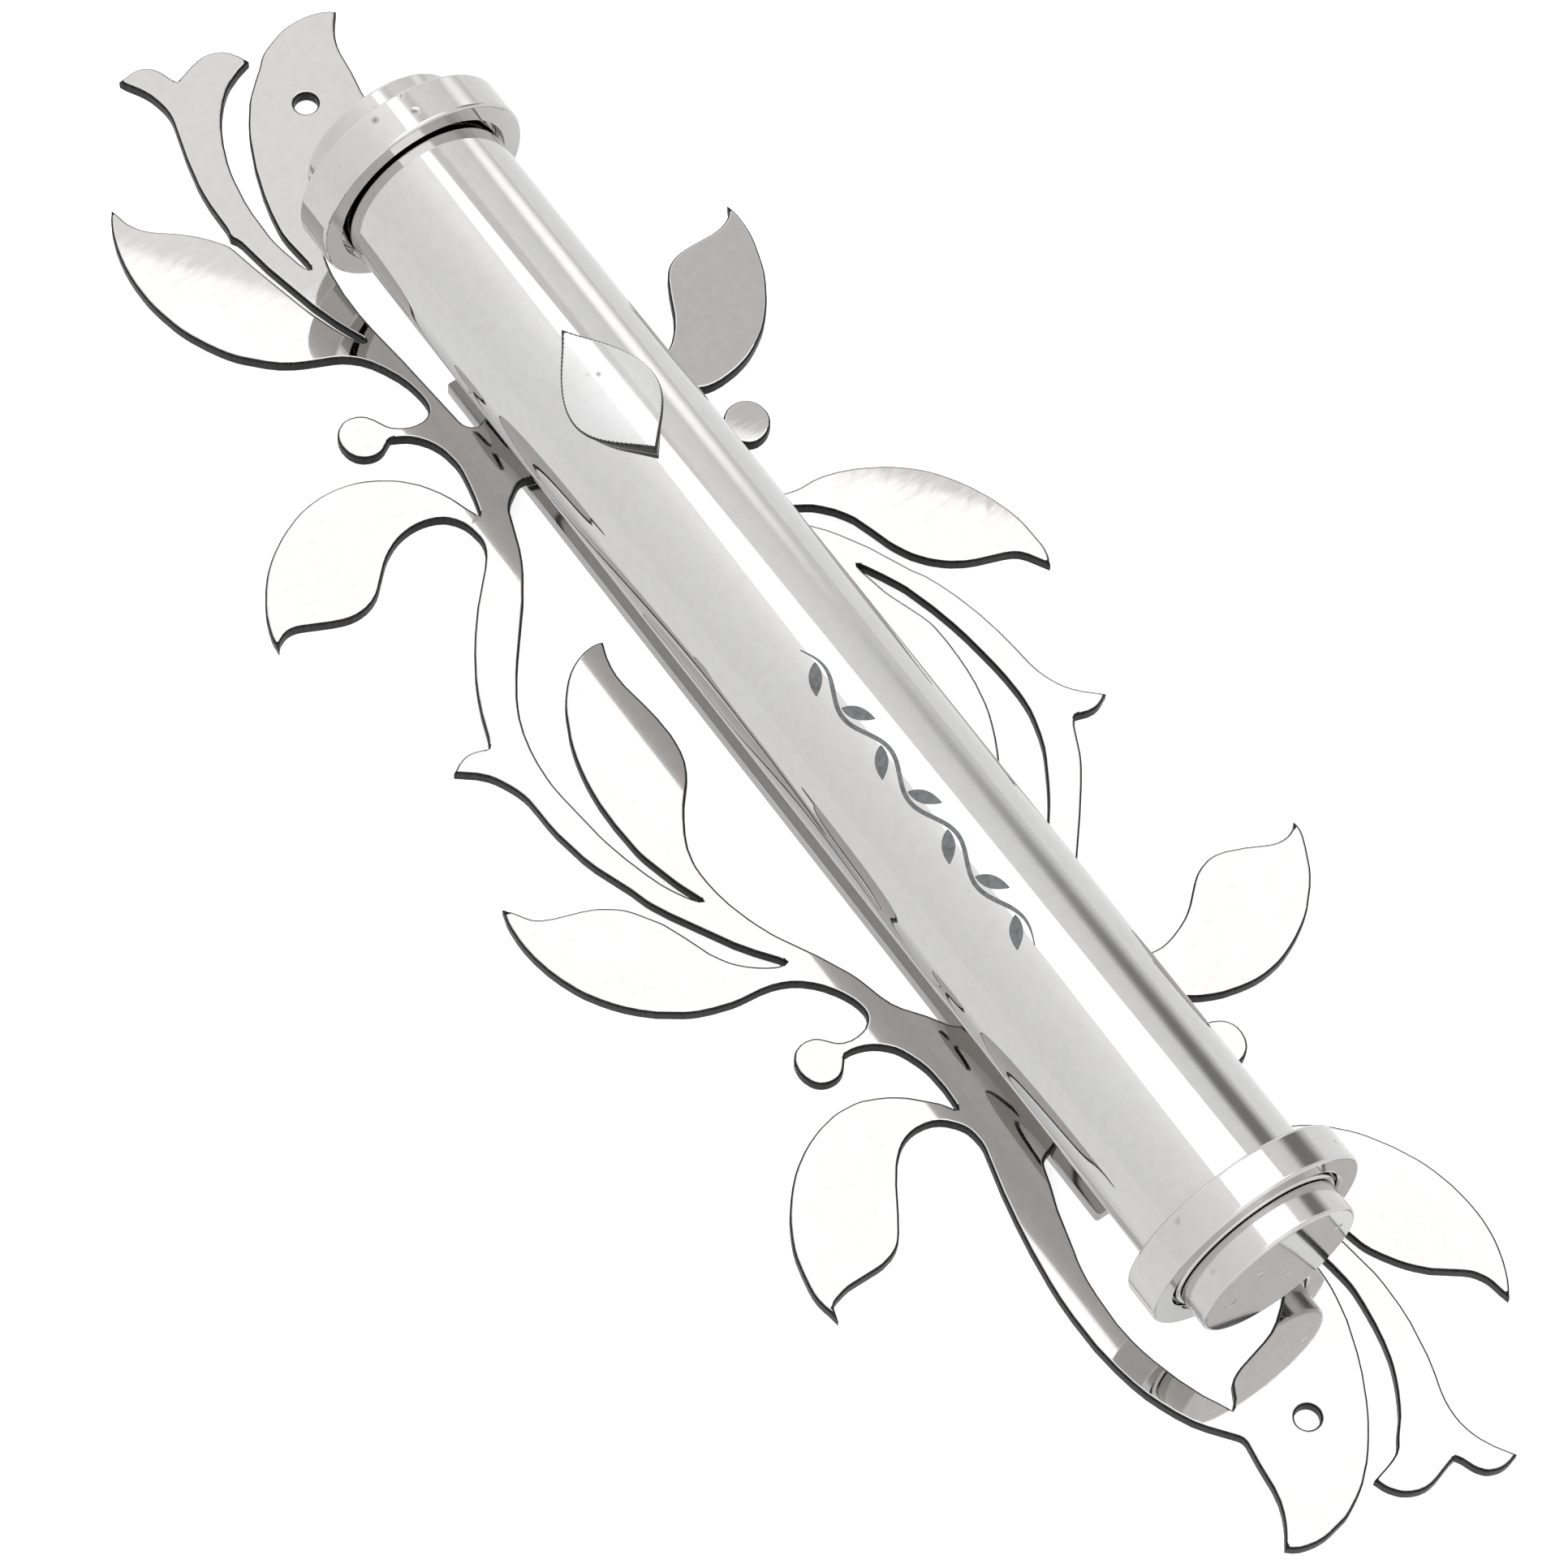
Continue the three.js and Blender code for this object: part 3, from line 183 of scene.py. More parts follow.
  -9.33,-100.12, -8.37,-100.33, -7.38,-100.38, -6.64,-100.31, -4.46,-99.91, -3.77,-99.64, -2.44,-98.97,
  -1.58,-98.47, -0.96,-98.05, 0.73,-96.58, 1.58,-95.67, 2.37,-94.72, 3.44,-93.33, 4,-92.52, 4.67,-91.45,
  6.01,-89.06, 6.96,-87.03, 8.21,-83.77, 8.82,-81.34, 9.04,-80.12, 9.15,-79.14, 9.21,-78.14, 9.21,-77.41,
  8.93,-73.95, 9,-73.52, 9.16,-73.11, 9.53,-73.98, 10,-76.17, 10.33,-78.39, 10.54,-80.36, 10.57,-81.11,
  10.54,-81.86, 10.37,-83.33, 10.02,-85.55, 9.59,-87.5, 9.09,-89.16, 8.73,-90.09, 8.2,-91.22, 7.6,-92.33,
  6.82,-93.59, 6.09,-94.61, 4.75,-96.05, 4.05,-96.97, 3.51,-97.39, 2.83,-97.69, 2.12,-97.91, 0.73,-98.25,
  0.12,-98.4, 0.32,-98.92, 0.36,-99.09, 0.54,-99.55, 0.77,-99.98, 1.21,-100.58, 1.54,-100.94, 1.94,-101.23,
  2.35,-101.48, 3.04,-101.77, 3.77,-101.91, 4.5,-101.89, 5.22,-101.75, 7.36,-101.11, 8.09,-100.98,
  8.44,-101.59, 8.85,-102.73, 9.08,-103.17, 9.53,-103.75, 9.91,-104.05, 10.57,-104.34, 11.04,-104.45,
  11.54,-104.48, 12.26,-104.39,
]
MIDDLE_OPENING = [
  -9.29,18.93, -9.96,19.12, -10.43,19.17, -11.17,19.12, -11.89,18.96, -12.82,18.62, -13.49,18.27,
  -14.12,17.86, -14.87,17.21, -15.55,16.48, -16.34,15.52, -16.77,14.91, -17.27,14.05, -18.48,11.59,
  -18.93,10.43, -19.31,9.24, -19.62,8.04, -19.93,6.57, -20.11,5.33, -20.29,3.6, -20.34,0.88, -20.16,-2.58,
  -20.07,-3.31, -19.93,-4.04, -19,-7.67, -18.7,-8.62, -18,-10.48, -17.8,-11.18, -18.41,-10.46, -18.95,-9.62,
  -19.64,-8.29, -20.14,-7.15, -20.68,-5.5, -21.41,-2.85, -21.93,-0.41, -22.13,0.82, -22.73,6.5, -22.82,8,
  -22.81,8.98, -22.66,10.96, -22.39,12.68, -21.91,14.62, -21.31,16.27, -20.77,17.39, -20.16,18.48,
  -18.63,20.76, -17.59,22.14, -13.37,27.39, -11.54,30.09, -10.8,31.39, -10.16,32.73, -8.59,36.94, -8.2,37.55,
  -7.69,38.06, -6.28,39.05, -5.85,39.22, -5.39,39.25, -4.44,39.05, 3.27,36.95, 3.75,36.8, 4.17,36.59,
  4.71,36.12, 5.14,35.51, 6.17,33.8, 7.65,31.8, 8.16,30.95, 8.59,29.78, 9.3,26.88, 9.8,25.46, 11.27,22.3,
  13.37,18.34, 14.13,16.5, 14.69,14.83, 15.13,13.15, 15.4,11.93, 15.55,10.71, 15.68,8.96, 15.62,7.48,
  15.42,6.25, 15.21,5.53, 14.96,4.83, 14.16,3.27, 13.07,1.6, 12.32,0.61, 10.86,-1.08, 10.42,-1.7, 9.86,-2.81,
  9.48,-3.99, 9.29,-4.96, 9.17,-6.19, 9.2,-8.43, 9.37,-10.41, 9.84,-13.61, 9.87,-15.11, 9.76,-16.09,
  9.57,-17.06, 9.35,-17.77, 8.83,-19.15, 9.52,-19.31, 10.01,-19.36, 10.75,-19.3, 11.46,-19.14, 12.4,-18.79,
  13.05,-18.43, 13.68,-18.02, 14.43,-17.36, 15.11,-16.64, 15.91,-15.69, 16.32,-15.08, 16.82,-14.21,
  17.64,-12.68, 18.16,-11.54, 18.73,-10.16, 19.11,-8.96, 19.66,-6.54, 19.89,-4.8, 20.03,-3.08, 20.11,-0.83,
  20.04,1.15, 19.94,1.88, 19.64,3.07, 18.43,6.62, 18.16,7.58, 17.62,10.51, 17.57,11, 17.57,11.71,
  18.07,10.88, 18.98,9.09, 19.71,7.5, 20.09,6.58, 21.03,3.22, 21.59,0.54, 21.91,-1.43, 22.19,-3.9,
  22.38,-5.88, 22.48,-7.61, 22.48,-9.86, 22.41,-10.86, 22.25,-12.09, 21.96,-13.29, 21.44,-14.96,
  20.88,-16.36, 20.3,-17.45, 18.87,-19.8, 18.05,-21.05, 17.32,-22.06, 12.66,-27.91, 11.4,-29.77,
  10.74,-30.83, 10.27,-31.71, 9.74,-32.84, 9.01,-34.7, 8.27,-36.81, 8.05,-37.27, 7.78,-37.67, 7.46,-38.03,
  7.08,-38.35, 6.25,-38.91, 5.62,-39.25, 5.18,-39.38, 4.96,-39.41, 4.48,-39.35, 3.77,-39.17, -3.94,-37.07,
  -4.41,-36.91, -4.82,-36.66, -5.32,-36.13, -6.62,-34.02, -8.11,-32.04, -8.71,-30.95, -9.12,-29.77,
  -9.76,-27.11, -10.16,-25.92, -11.71,-22.52, -13.71,-18.77, -14.13,-17.88, -14.67,-16.48, -15.07,-15.31,
  -15.71,-12.9, -15.99,-11.18, -16.12,-9.7, -16.14,-8.7, -16.11,-7.69, -16,-6.96, -15.62,-5.51, -15.33,-4.83,
  -14.89,-3.94, -13.98,-2.45, -13.12,-1.22, -11.34,0.86, -10.79,1.69, -10.24,2.8, -9.89,3.99, -9.71,5.23,
  -9.62,6.21, -9.67,8.44, -9.87,10.42, -10.29,13.38, -10.33,14.88, -10.23,15.87, -9.97,17.08, -9.74,17.79,
]
UPPER_OPENING = [
  -5.64,47.3, -6.25,47.66, -6.57,48, -6.77,48.41, -6.87,48.9, -7.61,58.33, -8.12,63.27, -8.25,65.52,
  -8.21,68.52, -7.92,71.23, -7.72,72.22, -7.4,73.42, -6.78,75.06, -6.1,76.39, -5.4,77.42, -4.53,78.3,
  -2.77,79.69, -1.69,80.28, -0.52,80.7, 2.89,81.53, 3.58,81.78, 4.25,82.09, 4.62,82.39, 4.77,82.56,
  5.44,83.8, 5.77,84.16, 6.33,84.64, 7.71,81.81, 8.67,79.23, 9.46,76.34, 9.77,74.89, 9.98,73.41, 10.16,70.92,
  10.01,67.69, 9.82,65.95, 9.62,64.72, 9.4,63.76, 9.02,62.56, 7.78,58.23, 6.77,55.69, 6.17,53.79, 5.94,53.37,
  5.79,53.19, 5.62,53.02, 5.22,52.8, 4.06,52.38, 3.4,52.06, -4,47.88, -4.69,47.58,
]
LOWER_OPENING = [
  -6.83,-84.83, -7.43,-83.5, -8.2,-81.97, -9.14,-79.39, -9.93,-76.5, -10.24,-75.03, -10.46,-73.55,
  -10.62,-71.33, -10.46,-67.84, -10.29,-66.11, -10.07,-64.88, -9.85,-63.91, -9.47,-62.71, -8.24,-58.38,
  -7.24,-55.84, -6.62,-53.95, -6.4,-53.52, -6.25,-53.35, -6.07,-53.2, -5.65,-52.98, -4.49,-52.59,
  -3.82,-52.25, 3.56,-48.03, 4.25,-47.73, 5.19,-47.48, 5.61,-47.73, 5.97,-48.02, 6.22,-48.41, 6.4,-49.12,
  7.14,-58.55, 7.67,-63.24, 7.78,-65.5, 7.75,-68.75, 7.44,-71.47, 7.25,-72.44, 6.92,-73.64, 6.29,-75.28,
  5.6,-76.61, 4.9,-77.64, 4.03,-78.53, 2.27,-79.89, 1.19,-80.5, 0.02,-80.89, -3.38,-81.73, -4.08,-81.97,
  -4.75,-82.3, -5.12,-82.59, -5.27,-82.78, -5.94,-84.02, -6.27,-84.36,
]


# ---- mesh helpers -------------------------------------------------------------------------
def loop_of(flat):
    return np.array(flat, float).reshape(-1, 2)


def make(name, verts, faces, loop_normals=None, face_slots=None):
    """A mesh object from millimetre points, with exact corner normals."""
    mesh = bpy.data.meshes.new(name)
    mesh.from_pydata((np.asarray(verts, float) / 1000).tolist(), [], [list(f) for f in faces])
    mesh.polygons.foreach_set("use_smooth", [True] * len(mesh.polygons))
    if face_slots is not None:
        mesh.polygons.foreach_set("material_index", list(face_slots))
    if loop_normals is not None:
        n = np.asarray(loop_normals, float)
        n /= np.maximum(np.linalg.norm(n, axis=1, keepdims=True), 1e-9)
        mesh.normals_split_custom_set(n.tolist())
    mesh.update()
    o = bpy.data.objects.new(name, mesh)
    bpy.context.scene.collection.objects.link(o)
    return o


def filleted(corners, radii, closed, steps=5):
    """Straight runs and corner arcs through the given (r, y) corners, as segments
    (p0, n0, p1, n1) whose normals point to the right of the walk."""
    P = [np.array(c, float) for c in corners]
    N = len(P)
    arcs = []
    for i in range(N):
        r = radii[i]
        if (not closed and i in (0, N - 1)) or r <= 0:
            arcs.append(None)
            continue
        a, b, c = P[i - 1], P[i], P[(i + 1) % N]
        u = (a - b) / np.linalg.norm(a - b)
        v = (c - b) / np.linalg.norm(c - b)
        half = math.acos(max(-1, min(1, float(u @ v)))) / 2
        t = r / math.tan(half)
        t = min(t, 0.49 * np.linalg.norm(a - b), 0.49 * np.linalg.norm(c - b))
        r = t * math.tan(half)
        centre = b + (u + v) / np.linalg.norm(u + v) * r / math.sin(half)
        p, q = b + u * t, b + v * t
        a0 = math.atan2(*(p - centre)[::-1])
        a1 = math.atan2(*(q - centre)[::-1])
        d = (a1 - a0 + math.pi) % (2 * math.pi) - math.pi
        walk = b - a
        right = np.array([walk[1], -walk[0]])
        sign = 1.0 if (p - centre) @ right > 0 else -1.0
        pts = []
        for k in range(steps + 1):
            w = a0 + d * k / steps
            e = np.array([math.cos(w), math.sin(w)])
            pts.append((centre + e * r, e * sign))
        arcs.append(pts)
    segs = []

    def ends(i):
        return (P[i], P[i]) if arcs[i] is None else (arcs[i][0][0], arcs[i][-1][0])

    count = N if closed else N - 1
    for i in range(N):
        if arcs[i] is not None:
            for (p0, n0), (p1, n1) in zip(arcs[i], arcs[i][1:]):
                segs.append((p0, n0, p1, n1))
        if i < count:
            p, q = ends(i)[1], ends((i + 1) % N)[0]
            w = q - p
            if np.linalg.norm(w) > 1e-6:
                n = np.array([w[1], -w[0]]) / np.linalg.norm(w)
                segs.append((p, n, q, n))
    return segs


def turned(name, corners, radii, closed=False, around=192, x=TUBE_X, z=TUBE_Z, steps=5, flip=False):
    """A piece turned about the tube's axis. Corners are (radius, y); walked so that outside is on the right."""
    segs = filleted(corners, radii, closed, steps)
    ang = np.linspace(0, 2 * math.pi, around, endpoint=False)
    verts, index = [], {}

    def ring(p):
        key = (round(float(p[0]), 5), round(float(p[1]), 5))
        if key not in index:
            if p[0] < 1e-6:
                index[key] = [len(verts)] * around
                verts.append((x, p[1], z))
            else:
                index[key] = list(range(len(verts), len(verts) + around))
                for a in ang:
                    verts.append((x + p[0] * math.sin(a), p[1], z + p[0] * math.cos(a)))
        return index[key]

    faces, normals = [], []
    for p0, n0, p1, n1 in segs:
        r0, r1 = ring(p0), ring(p1)
        for i in range(around):
            j = (i + 1) % around
            quad = [(r0[i], n0, ang[i]), (r0[j], n0, ang[j] if j else 2 * math.pi), (r1[j], n1, ang[j] if j else 2 * math.pi), (r1[i], n1, ang[i])]
            ids = []
            face = []
            for v, n, a in quad:
                if v in ids:
                    continue
                ids.append(v)
                face.append((v, (n[0] * math.sin(a), n[1], n[0] * math.cos(a))))
            if len(face) < 3:
                continue
            faces.append([f[0] for f in face])
            normals += [f[1] for f in face]
    return orient(name, verts, faces, normals)


def orient(name, verts, faces, normals, slots=None):
    """Turns each face so that it agrees with its corner normals."""
    V = np.asarray(verts, float)
    out_f, out_n, k = [], [], 0
    for f in faces:
        n = normals[k : k + len(f)]
        k += len(f)
        a, b, c = V[f[0]], V[f[1]], V[f[2]]
        g = np.cross(b - a, c - a)
        if float(g @ np.sum(np.asarray(n, float), axis=0)) < 0:
            f, n = f[::-1], n[::-1]
        out_f.append(f)
        out_n += list(n)
    return make(name, verts, out_f, out_n, slots)


def inside(loop, pts):
    """Even-odd test of points against one closed loop."""
    x, y = pts[:, 0], pts[:, 1]
    res = np.zeros(len(pts), bool)
    a, b = loop, np.roll(loop, -1, 0)
    for (x0, y0), (x1, y1) in zip(a, b):
        if y0 == y1:
            continue
        hit = (y0 > y) != (y1 > y)
        res ^= hit & (x < (x1 - x0) * (y - y0) / (y1 - y0) + x0)
    return res


def edge_distance(pts, A, B):
    """Distance to the nearest edge and the outward direction there, for points within the outline."""
    D = np.full(len(pts), 1e9)
    G = np.zeros((len(pts), 2))
    AB = B - A
    L2 = np.maximum((AB**2).sum(1), 1e-12)
    step = 400
    for s in range(0, len(pts), step):
        p = pts[s : s + step]
        t = np.clip(((p[:, None] - A) * AB).sum(-1) / L2, 0, 1)
        q = A + AB * t[..., None]
        w = q - p[:, None]
        d2 = (w**2).sum(-1)
        i = d2.argmin(1)
        r = np.arange(len(p))
        D[s : s + step] = np.sqrt(d2[r, i])
        G[s : s + step] = w[r, i]
    n = np.linalg.norm(G, axis=1, keepdims=True)
    return D, G / np.maximum(n, 1e-9)


def resampled(loop, longest):
    out = []
    for p, q in zip(loop, np.roll(loop, -1, 0)):
        n = max(1, int(math.ceil(np.linalg.norm(q - p) / longest)))
        for k in range(n):
            out.append(p + (q - p) * k / n)
    return np.array(out)


def cut_sheet(loops, low, high, r_top, r_back, longest=0.6, rings=4, extra=None, wrap=None, corner=0.5):
    """A flat piece cut from sheet: first loop outside, the rest are openings. Its front and back edges are
    rounded to r_top and r_back by distance from the edge. Returns verts, faces, corner normals, face kinds
    (0 front, 1 wall, 2 back, 3 the outer part of the front rounding)."""
    loops = [resampled(l, longest) for l in loops]
    A = np.concatenate(loops)
    B = np.concatenate([np.roll(l, -1, 0) for l in loops])
    pts = [A]
    for k in range(1, rings + 1):
        d = r_top * (1 - math.cos(k / rings * math.pi / 2))
        for li, l in enumerate(loops):
            e0 = l - np.roll(l, 1, 0)
            e1 = np.roll(l, -1, 0) - l
            t = e0 / np.maximum(np.linalg.norm(e0, axis=1, keepdims=True), 1e-9) + e1 / np.maximum(
                np.linalg.norm(e1, axis=1, keepdims=True), 1e-9
            )
            n = np.stack([-t[:, 1], t[:, 0]], 1)
            n /= np.maximum(np.linalg.norm(n, axis=1, keepdims=True), 1e-9)
            area = 0.5 * np.sum(l[:, 0] * np.roll(l[:, 1], -1) - np.roll(l[:, 0], -1) * l[:, 1])
            sign = 1.0 if (area > 0) == (li == 0) else -1.0
            q = l + n * d * sign
            D, _ = edge_distance(q, A, B)
            ok = D > 0.96 * d
            # inside the piece
            ins = inside(loops[0], q)
            for h in loops[1:]:
                ins &= ~inside(h, q)
            pts.append(q[ok & ins])
    if extra is not None:
        q = extra
        ins = inside(loops[0], q)
        for h in loops[1:]:
            ins &= ~inside(h, q)
        q = q[ins]
        D, _ = edge_distance(q, A, B)
        pts.append(q[D > r_top * 1.15])
    allp = np.concatenate(pts)
    nb = len(A)
    edges, start = [], 0
    for l in loops:
        n = len(l)
        edges += [(start + i, start + (i + 1) % n) for i in range(n)]
        start += n
    vo, eo, fo, vi, _, _ = delaunay_2d_cdt([Vector(p) for p in allp], edges, [], 0, 1e-6)
    vo = np.array([list(v) for v in vo])
    first = {}
    for i, srcs in enumerate(vi):
        for s in srcs:
            first.setdefault(s, i)
    boundary = [first[i] for i in range(nb)]
    tri = np.array([f for f in fo if len(f) == 3])
    cen = vo[tri].mean(1)
    keep = inside(loops[0], cen)
    for h in loops[1:]:
        keep &= ~inside(h, cen)
    tri = tri[keep]
    used = np.unique(tri)
    remap = -np.ones(len(vo), int)
    remap[used] = np.arange(len(used))
    vo, tri = vo[used], remap[tri]
    boundary = [int(remap[b]) for b in boundary]
    D, G = edge_distance(vo, A, B)
    onb = np.zeros(len(vo), bool)
    onb[boundary] = True
    D[onb] = 0
    # wall direction on the outline's own points
    wall = np.zeros((len(vo), 2))
    start = 0
    for li, l in enumerate(loops):
        n = len(l)
        e = np.roll(l, -1, 0) - l
        e /= np.maximum(np.linalg.norm(e, axis=1, keepdims=True), 1e-9)
        area = 0.5 * np.sum(l[:, 0] * np.roll(l[:, 1], -1) - np.roll(l[:, 0], -1) * l[:, 1])
        sign = 1.0 if (area > 0) == (li == 0) else -1.0
        out = np.stack([e[:, 1], -e[:, 0]], 1) * sign
        for i in range(n):
            wall[boundary[start + i]] += out[i] + out[i - 1]
        start += n
    G[onb] = wall[onb] / np.maximum(np.linalg.norm(wall[onb], axis=1, keepdims=True), 1e-9)

    def face_side(r, z_flat, up):
        m = np.clip(1 - D / max(r, 1e-6), 0, 1)
        z = z_flat - up * (r - r * np.sqrt(np.maximum(0, 1 - m**2)))
        n = np.stack([G[:, 0] * m, G[:, 1] * m, up * np.sqrt(np.maximum(1e-6, 1 - m**2))], 1)
        return z, n

    zt, nt = face_side(r_top, high, 1)
    zb, nbk = face_side(r_back, low, -1)
    M = len(vo)
    verts = np.concatenate([np.c_[vo, zt], np.c_[vo, zb]])
    faces, normals, kinds = [], [], []
    for a, b, c in tri:
        p, q, s = vo[a], vo[b], vo[c]
        ccw = (q[0] - p[0]) * (s[1] - p[1]) - (q[1] - p[1]) * (s[0] - p[0]) > 0
        t = (a, b, c) if ccw else (c, b, a)
        faces.append([int(v) for v in t])
        normals += [nt[v] for v in t]
        # Kind 3 is the outer part of the front rounding; callers give it the near-black edge material, a band of
        # painted shade.
        kinds.append(3 if (D[a] + D[b] + D[c]) / 3 < 0.65 * r_top else 0)
        t = t[::-1]
        faces.append([int(v) + M for v in t])
        normals += [nbk[v] for v in t]
        kinds.append(2)
    start = 0
    for li, l in enumerate(loops):
        n = len(l)
        e = np.roll(l, -1, 0) - l
        e /= np.maximum(np.linalg.norm(e, axis=1, keepdims=True), 1e-9)
        area = 0.5 * np.sum(l[:, 0] * np.roll(l[:, 1], -1) - np.roll(l[:, 0], -1) * l[:, 1])
        sign = 1.0 if (area > 0) == (li == 0) else -1.0
        out = np.stack([e[:, 1], -e[:, 0]], 1) * sign

        def at(i, j):
            """Normal of edge i at its end point j, shared with the next edge unless the corner is sharp."""
            k = (j - 1) % n if j == i else j % n
            o = out[k]
            if out[i] @ o > math.cos(corner):
                v = out[i] + o
                return v / np.linalg.norm(v)
            return out[i]

        for i in range(n):
            j = (i + 1) % n
            a, b = boundary[start + i], boundary[start + j]
            na, nb2 = at(i, i), at(i, (i + 1) % n)
            quad = [(a, na), (b, nb2), (b + M, nb2), (a + M, na)]
            v0, v1, v2 = verts[a], verts[b], verts[b + M]
            g = np.cross(v1 - v0, v2 - v0)
            if g[0] * out[i][0] + g[1] * out[i][1] < 0:
                quad = quad[::-1]
            faces.append([int(q[0]) for q in quad])
            normals += [np.array([q[1][0], q[1][1], 0.0]) for q in quad]
            kinds.append(1)
        start += n
    normals = np.array(normals, float)
    if wrap is not None:
        verts, normals = wrap(verts, normals, faces)
    return verts, faces, normals, kinds


def circle(x, y, r, n=48):
    a = np.linspace(0, 2 * math.pi, n, endpoint=False)
    return np.stack([x + r * np.cos(a), y + r * np.sin(a)], 1)


def onto_tube(base):
    """Wraps (arc length, y, height) round the tube, with height 0 at radius base."""

    def wrap(verts, normals, faces):
        th = verts[:, 0] / TUBE_R
        r = base + verts[:, 2]
        out = np.stack([TUBE_X + r * np.sin(th), verts[:, 1], TUBE_Z + r * np.cos(th)], 1)
        idx = np.concatenate([np.array(f) for f in faces])
        t = th[idx]
        n = np.stack(
            [
                normals[:, 0] * np.cos(t) + normals[:, 2] * np.sin(t),
                normals[:, 1],
                -normals[:, 0] * np.sin(t) + normals[:, 2] * np.cos(t),
            ],
            1,
        )
        return out, n

    return wrap


# ---- materials ----------------------------------------------------------------------------
class Nodes:
    """Short names for building one material's nodes."""

    def __init__(self, name):
        self.mat = bpy.data.materials.new(name)
        self.mat.use_nodes = True
        self.tree = self.mat.node_tree
        self.bsdf = self.tree.nodes["Principled BSDF"]
        self.coord = self.tree.nodes.new("ShaderNodeTexCoord")

    def link(self, a, b):
        self.tree.links.new(a, b)

    def node(self, kind, **values):
        n = self.tree.nodes.new(kind)
        for k, v in values.items():
            setattr(n, k, v)
        return n

    def mapped(self, scale, rotate=(0, 0, 0)):
        m = self.node("ShaderNodeMapping")
        m.inputs["Scale"].default_value = scale
        m.inputs["Rotation"].default_value = rotate
        self.link(self.coord.outputs["Object"], m.inputs["Vector"])
        return m.outputs["Vector"]

    def noise(self, vector, scale, detail=3.0, rough=0.55):
        n = self.node("ShaderNodeTexNoise")
        n.inputs["Scale"].default_value = scale
        n.inputs["Detail"].default_value = detail
        n.inputs["Roughness"].default_value = rough
        self.link(vector, n.inputs["Vector"])
        return n.outputs["Fac"]

    def spread(self, value, low, high, out_low, out_high):
        m = self.node("ShaderNodeMapRange")
        m.clamp = True
        for k, v in (("From Min", low), ("From Max", high), ("To Min", out_low), ("To Max", out_high)):
            m.inputs[k].default_value = v
        self.link(value, m.inputs["Value"])
        return m.outputs["Result"]

    def ramp(self, value, stops):
        r = self.node("ShaderNodeValToRGB")
        els = r.color_ramp.elements
        while len(els) < len(stops):
            els.new(0.5)
        for e, (pos, col) in zip(els, stops):
            e.position = pos
            e.color = (*col, 1) if len(col) == 3 else col
        self.link(value, r.inputs["Fac"])
        return r.outputs["Color"]

    def math(self, op, a, b):
        m = self.node("ShaderNodeMath", operation=op)
        for i, v in enumerate((a, b)):
            if isinstance(v, (int, float)):
                m.inputs[i].default_value = v
            else:
                self.link(v, m.inputs[i])
        return m.outputs[0]

    def bump(self, height, strength, distance, normal=None):
        b = self.node("ShaderNodeBump")
        b.inputs["Strength"].default_value = strength
        b.inputs["Distance"].default_value = distance
        self.link(height, b.inputs["Height"])
        if normal is not None:
            self.link(normal, b.inputs["Normal"])
        return b.outputs["Normal"]


def polished(name, light, dark, rough, lines=None, pits=0.0, ripple=0.0, line_bump=0.0):
    """Polished steel: slow cloudiness in colour and roughness, fine hair lines, small pits and wear."""
    n = Nodes(name)
    base = n.mapped((1, 1, 1))
    cloud = n.noise(base, 38.0, 2.0)
    fine = n.noise(base, 900.0, 3.0)
    tint = n.ramp(cloud, [(0.3, dark), (0.7, light)])
    mix = n.node("ShaderNodeMix", data_type="RGBA", blend_type="MULTIPLY")
    mix.inputs[0].default_value = 0.35
    n.link(tint, mix.inputs[6])
    n.link(n.ramp(fine, [(0.25, (0.86, 0.86, 0.86)), (0.62, (1, 1, 1))]), mix.inputs[7])
    colour = mix.outputs[2]
    n.bsdf.inputs["Metallic"].default_value = 1.0
    r = n.spread(cloud, 0.3, 0.7, rough[0], rough[1])
    heights = []
    normal = None
    if lines is not None:
        scale, turn = lines
        hair = n.noise(n.mapped(scale, turn), 1.0, 4.0, 0.7)
        r = n.math("ADD", r, n.spread(hair, 0.45, 0.75, 0.0, 0.05))
        if line_bump:
            normal = n.bump(hair, line_bump, 0.00002)
    if pits:
        v = n.node("ShaderNodeTexVoronoi")
        v.feature = "F1"
        v.inputs["Scale"].default_value = 420.0
        v.inputs["Randomness"].default_value = 1.0
        n.link(base, v.inputs["Vector"])
        rare = n.spread(n.noise(base, 260.0, 1.0), 0.56, 0.60, 0.0, 1.0)
        pit = n.math("MULTIPLY", n.spread(v.outputs["Distance"], 0.0, 0.22, 1.0, 0.0), rare)
        normal = n.bump(n.math("MULTIPLY", pit, -1.0), pits, 0.00006, normal)
        stain = n.node("ShaderNodeMix", data_type="RGBA", blend_type="MULTIPLY")
        stain.inputs[7].default_value = (0.12, 0.10, 0.09, 1)
        n.link(n.math("MULTIPLY", pit, 0.85), stain.inputs[0])
        n.link(colour, stain.inputs[6])
        colour = stain.outputs[2]
    if ripple:
        wave = n.noise(n.mapped((1, 1, 1)), 70.0, 1.0)
        normal = n.bump(wave, ripple, 0.00012, normal)
    n.link(colour, n.bsdf.inputs["Base Color"])
    n.link(r, n.bsdf.inputs["Roughness"])
    if normal is not None:
        n.link(normal, n.bsdf.inputs["Normal"])
    return n.mat


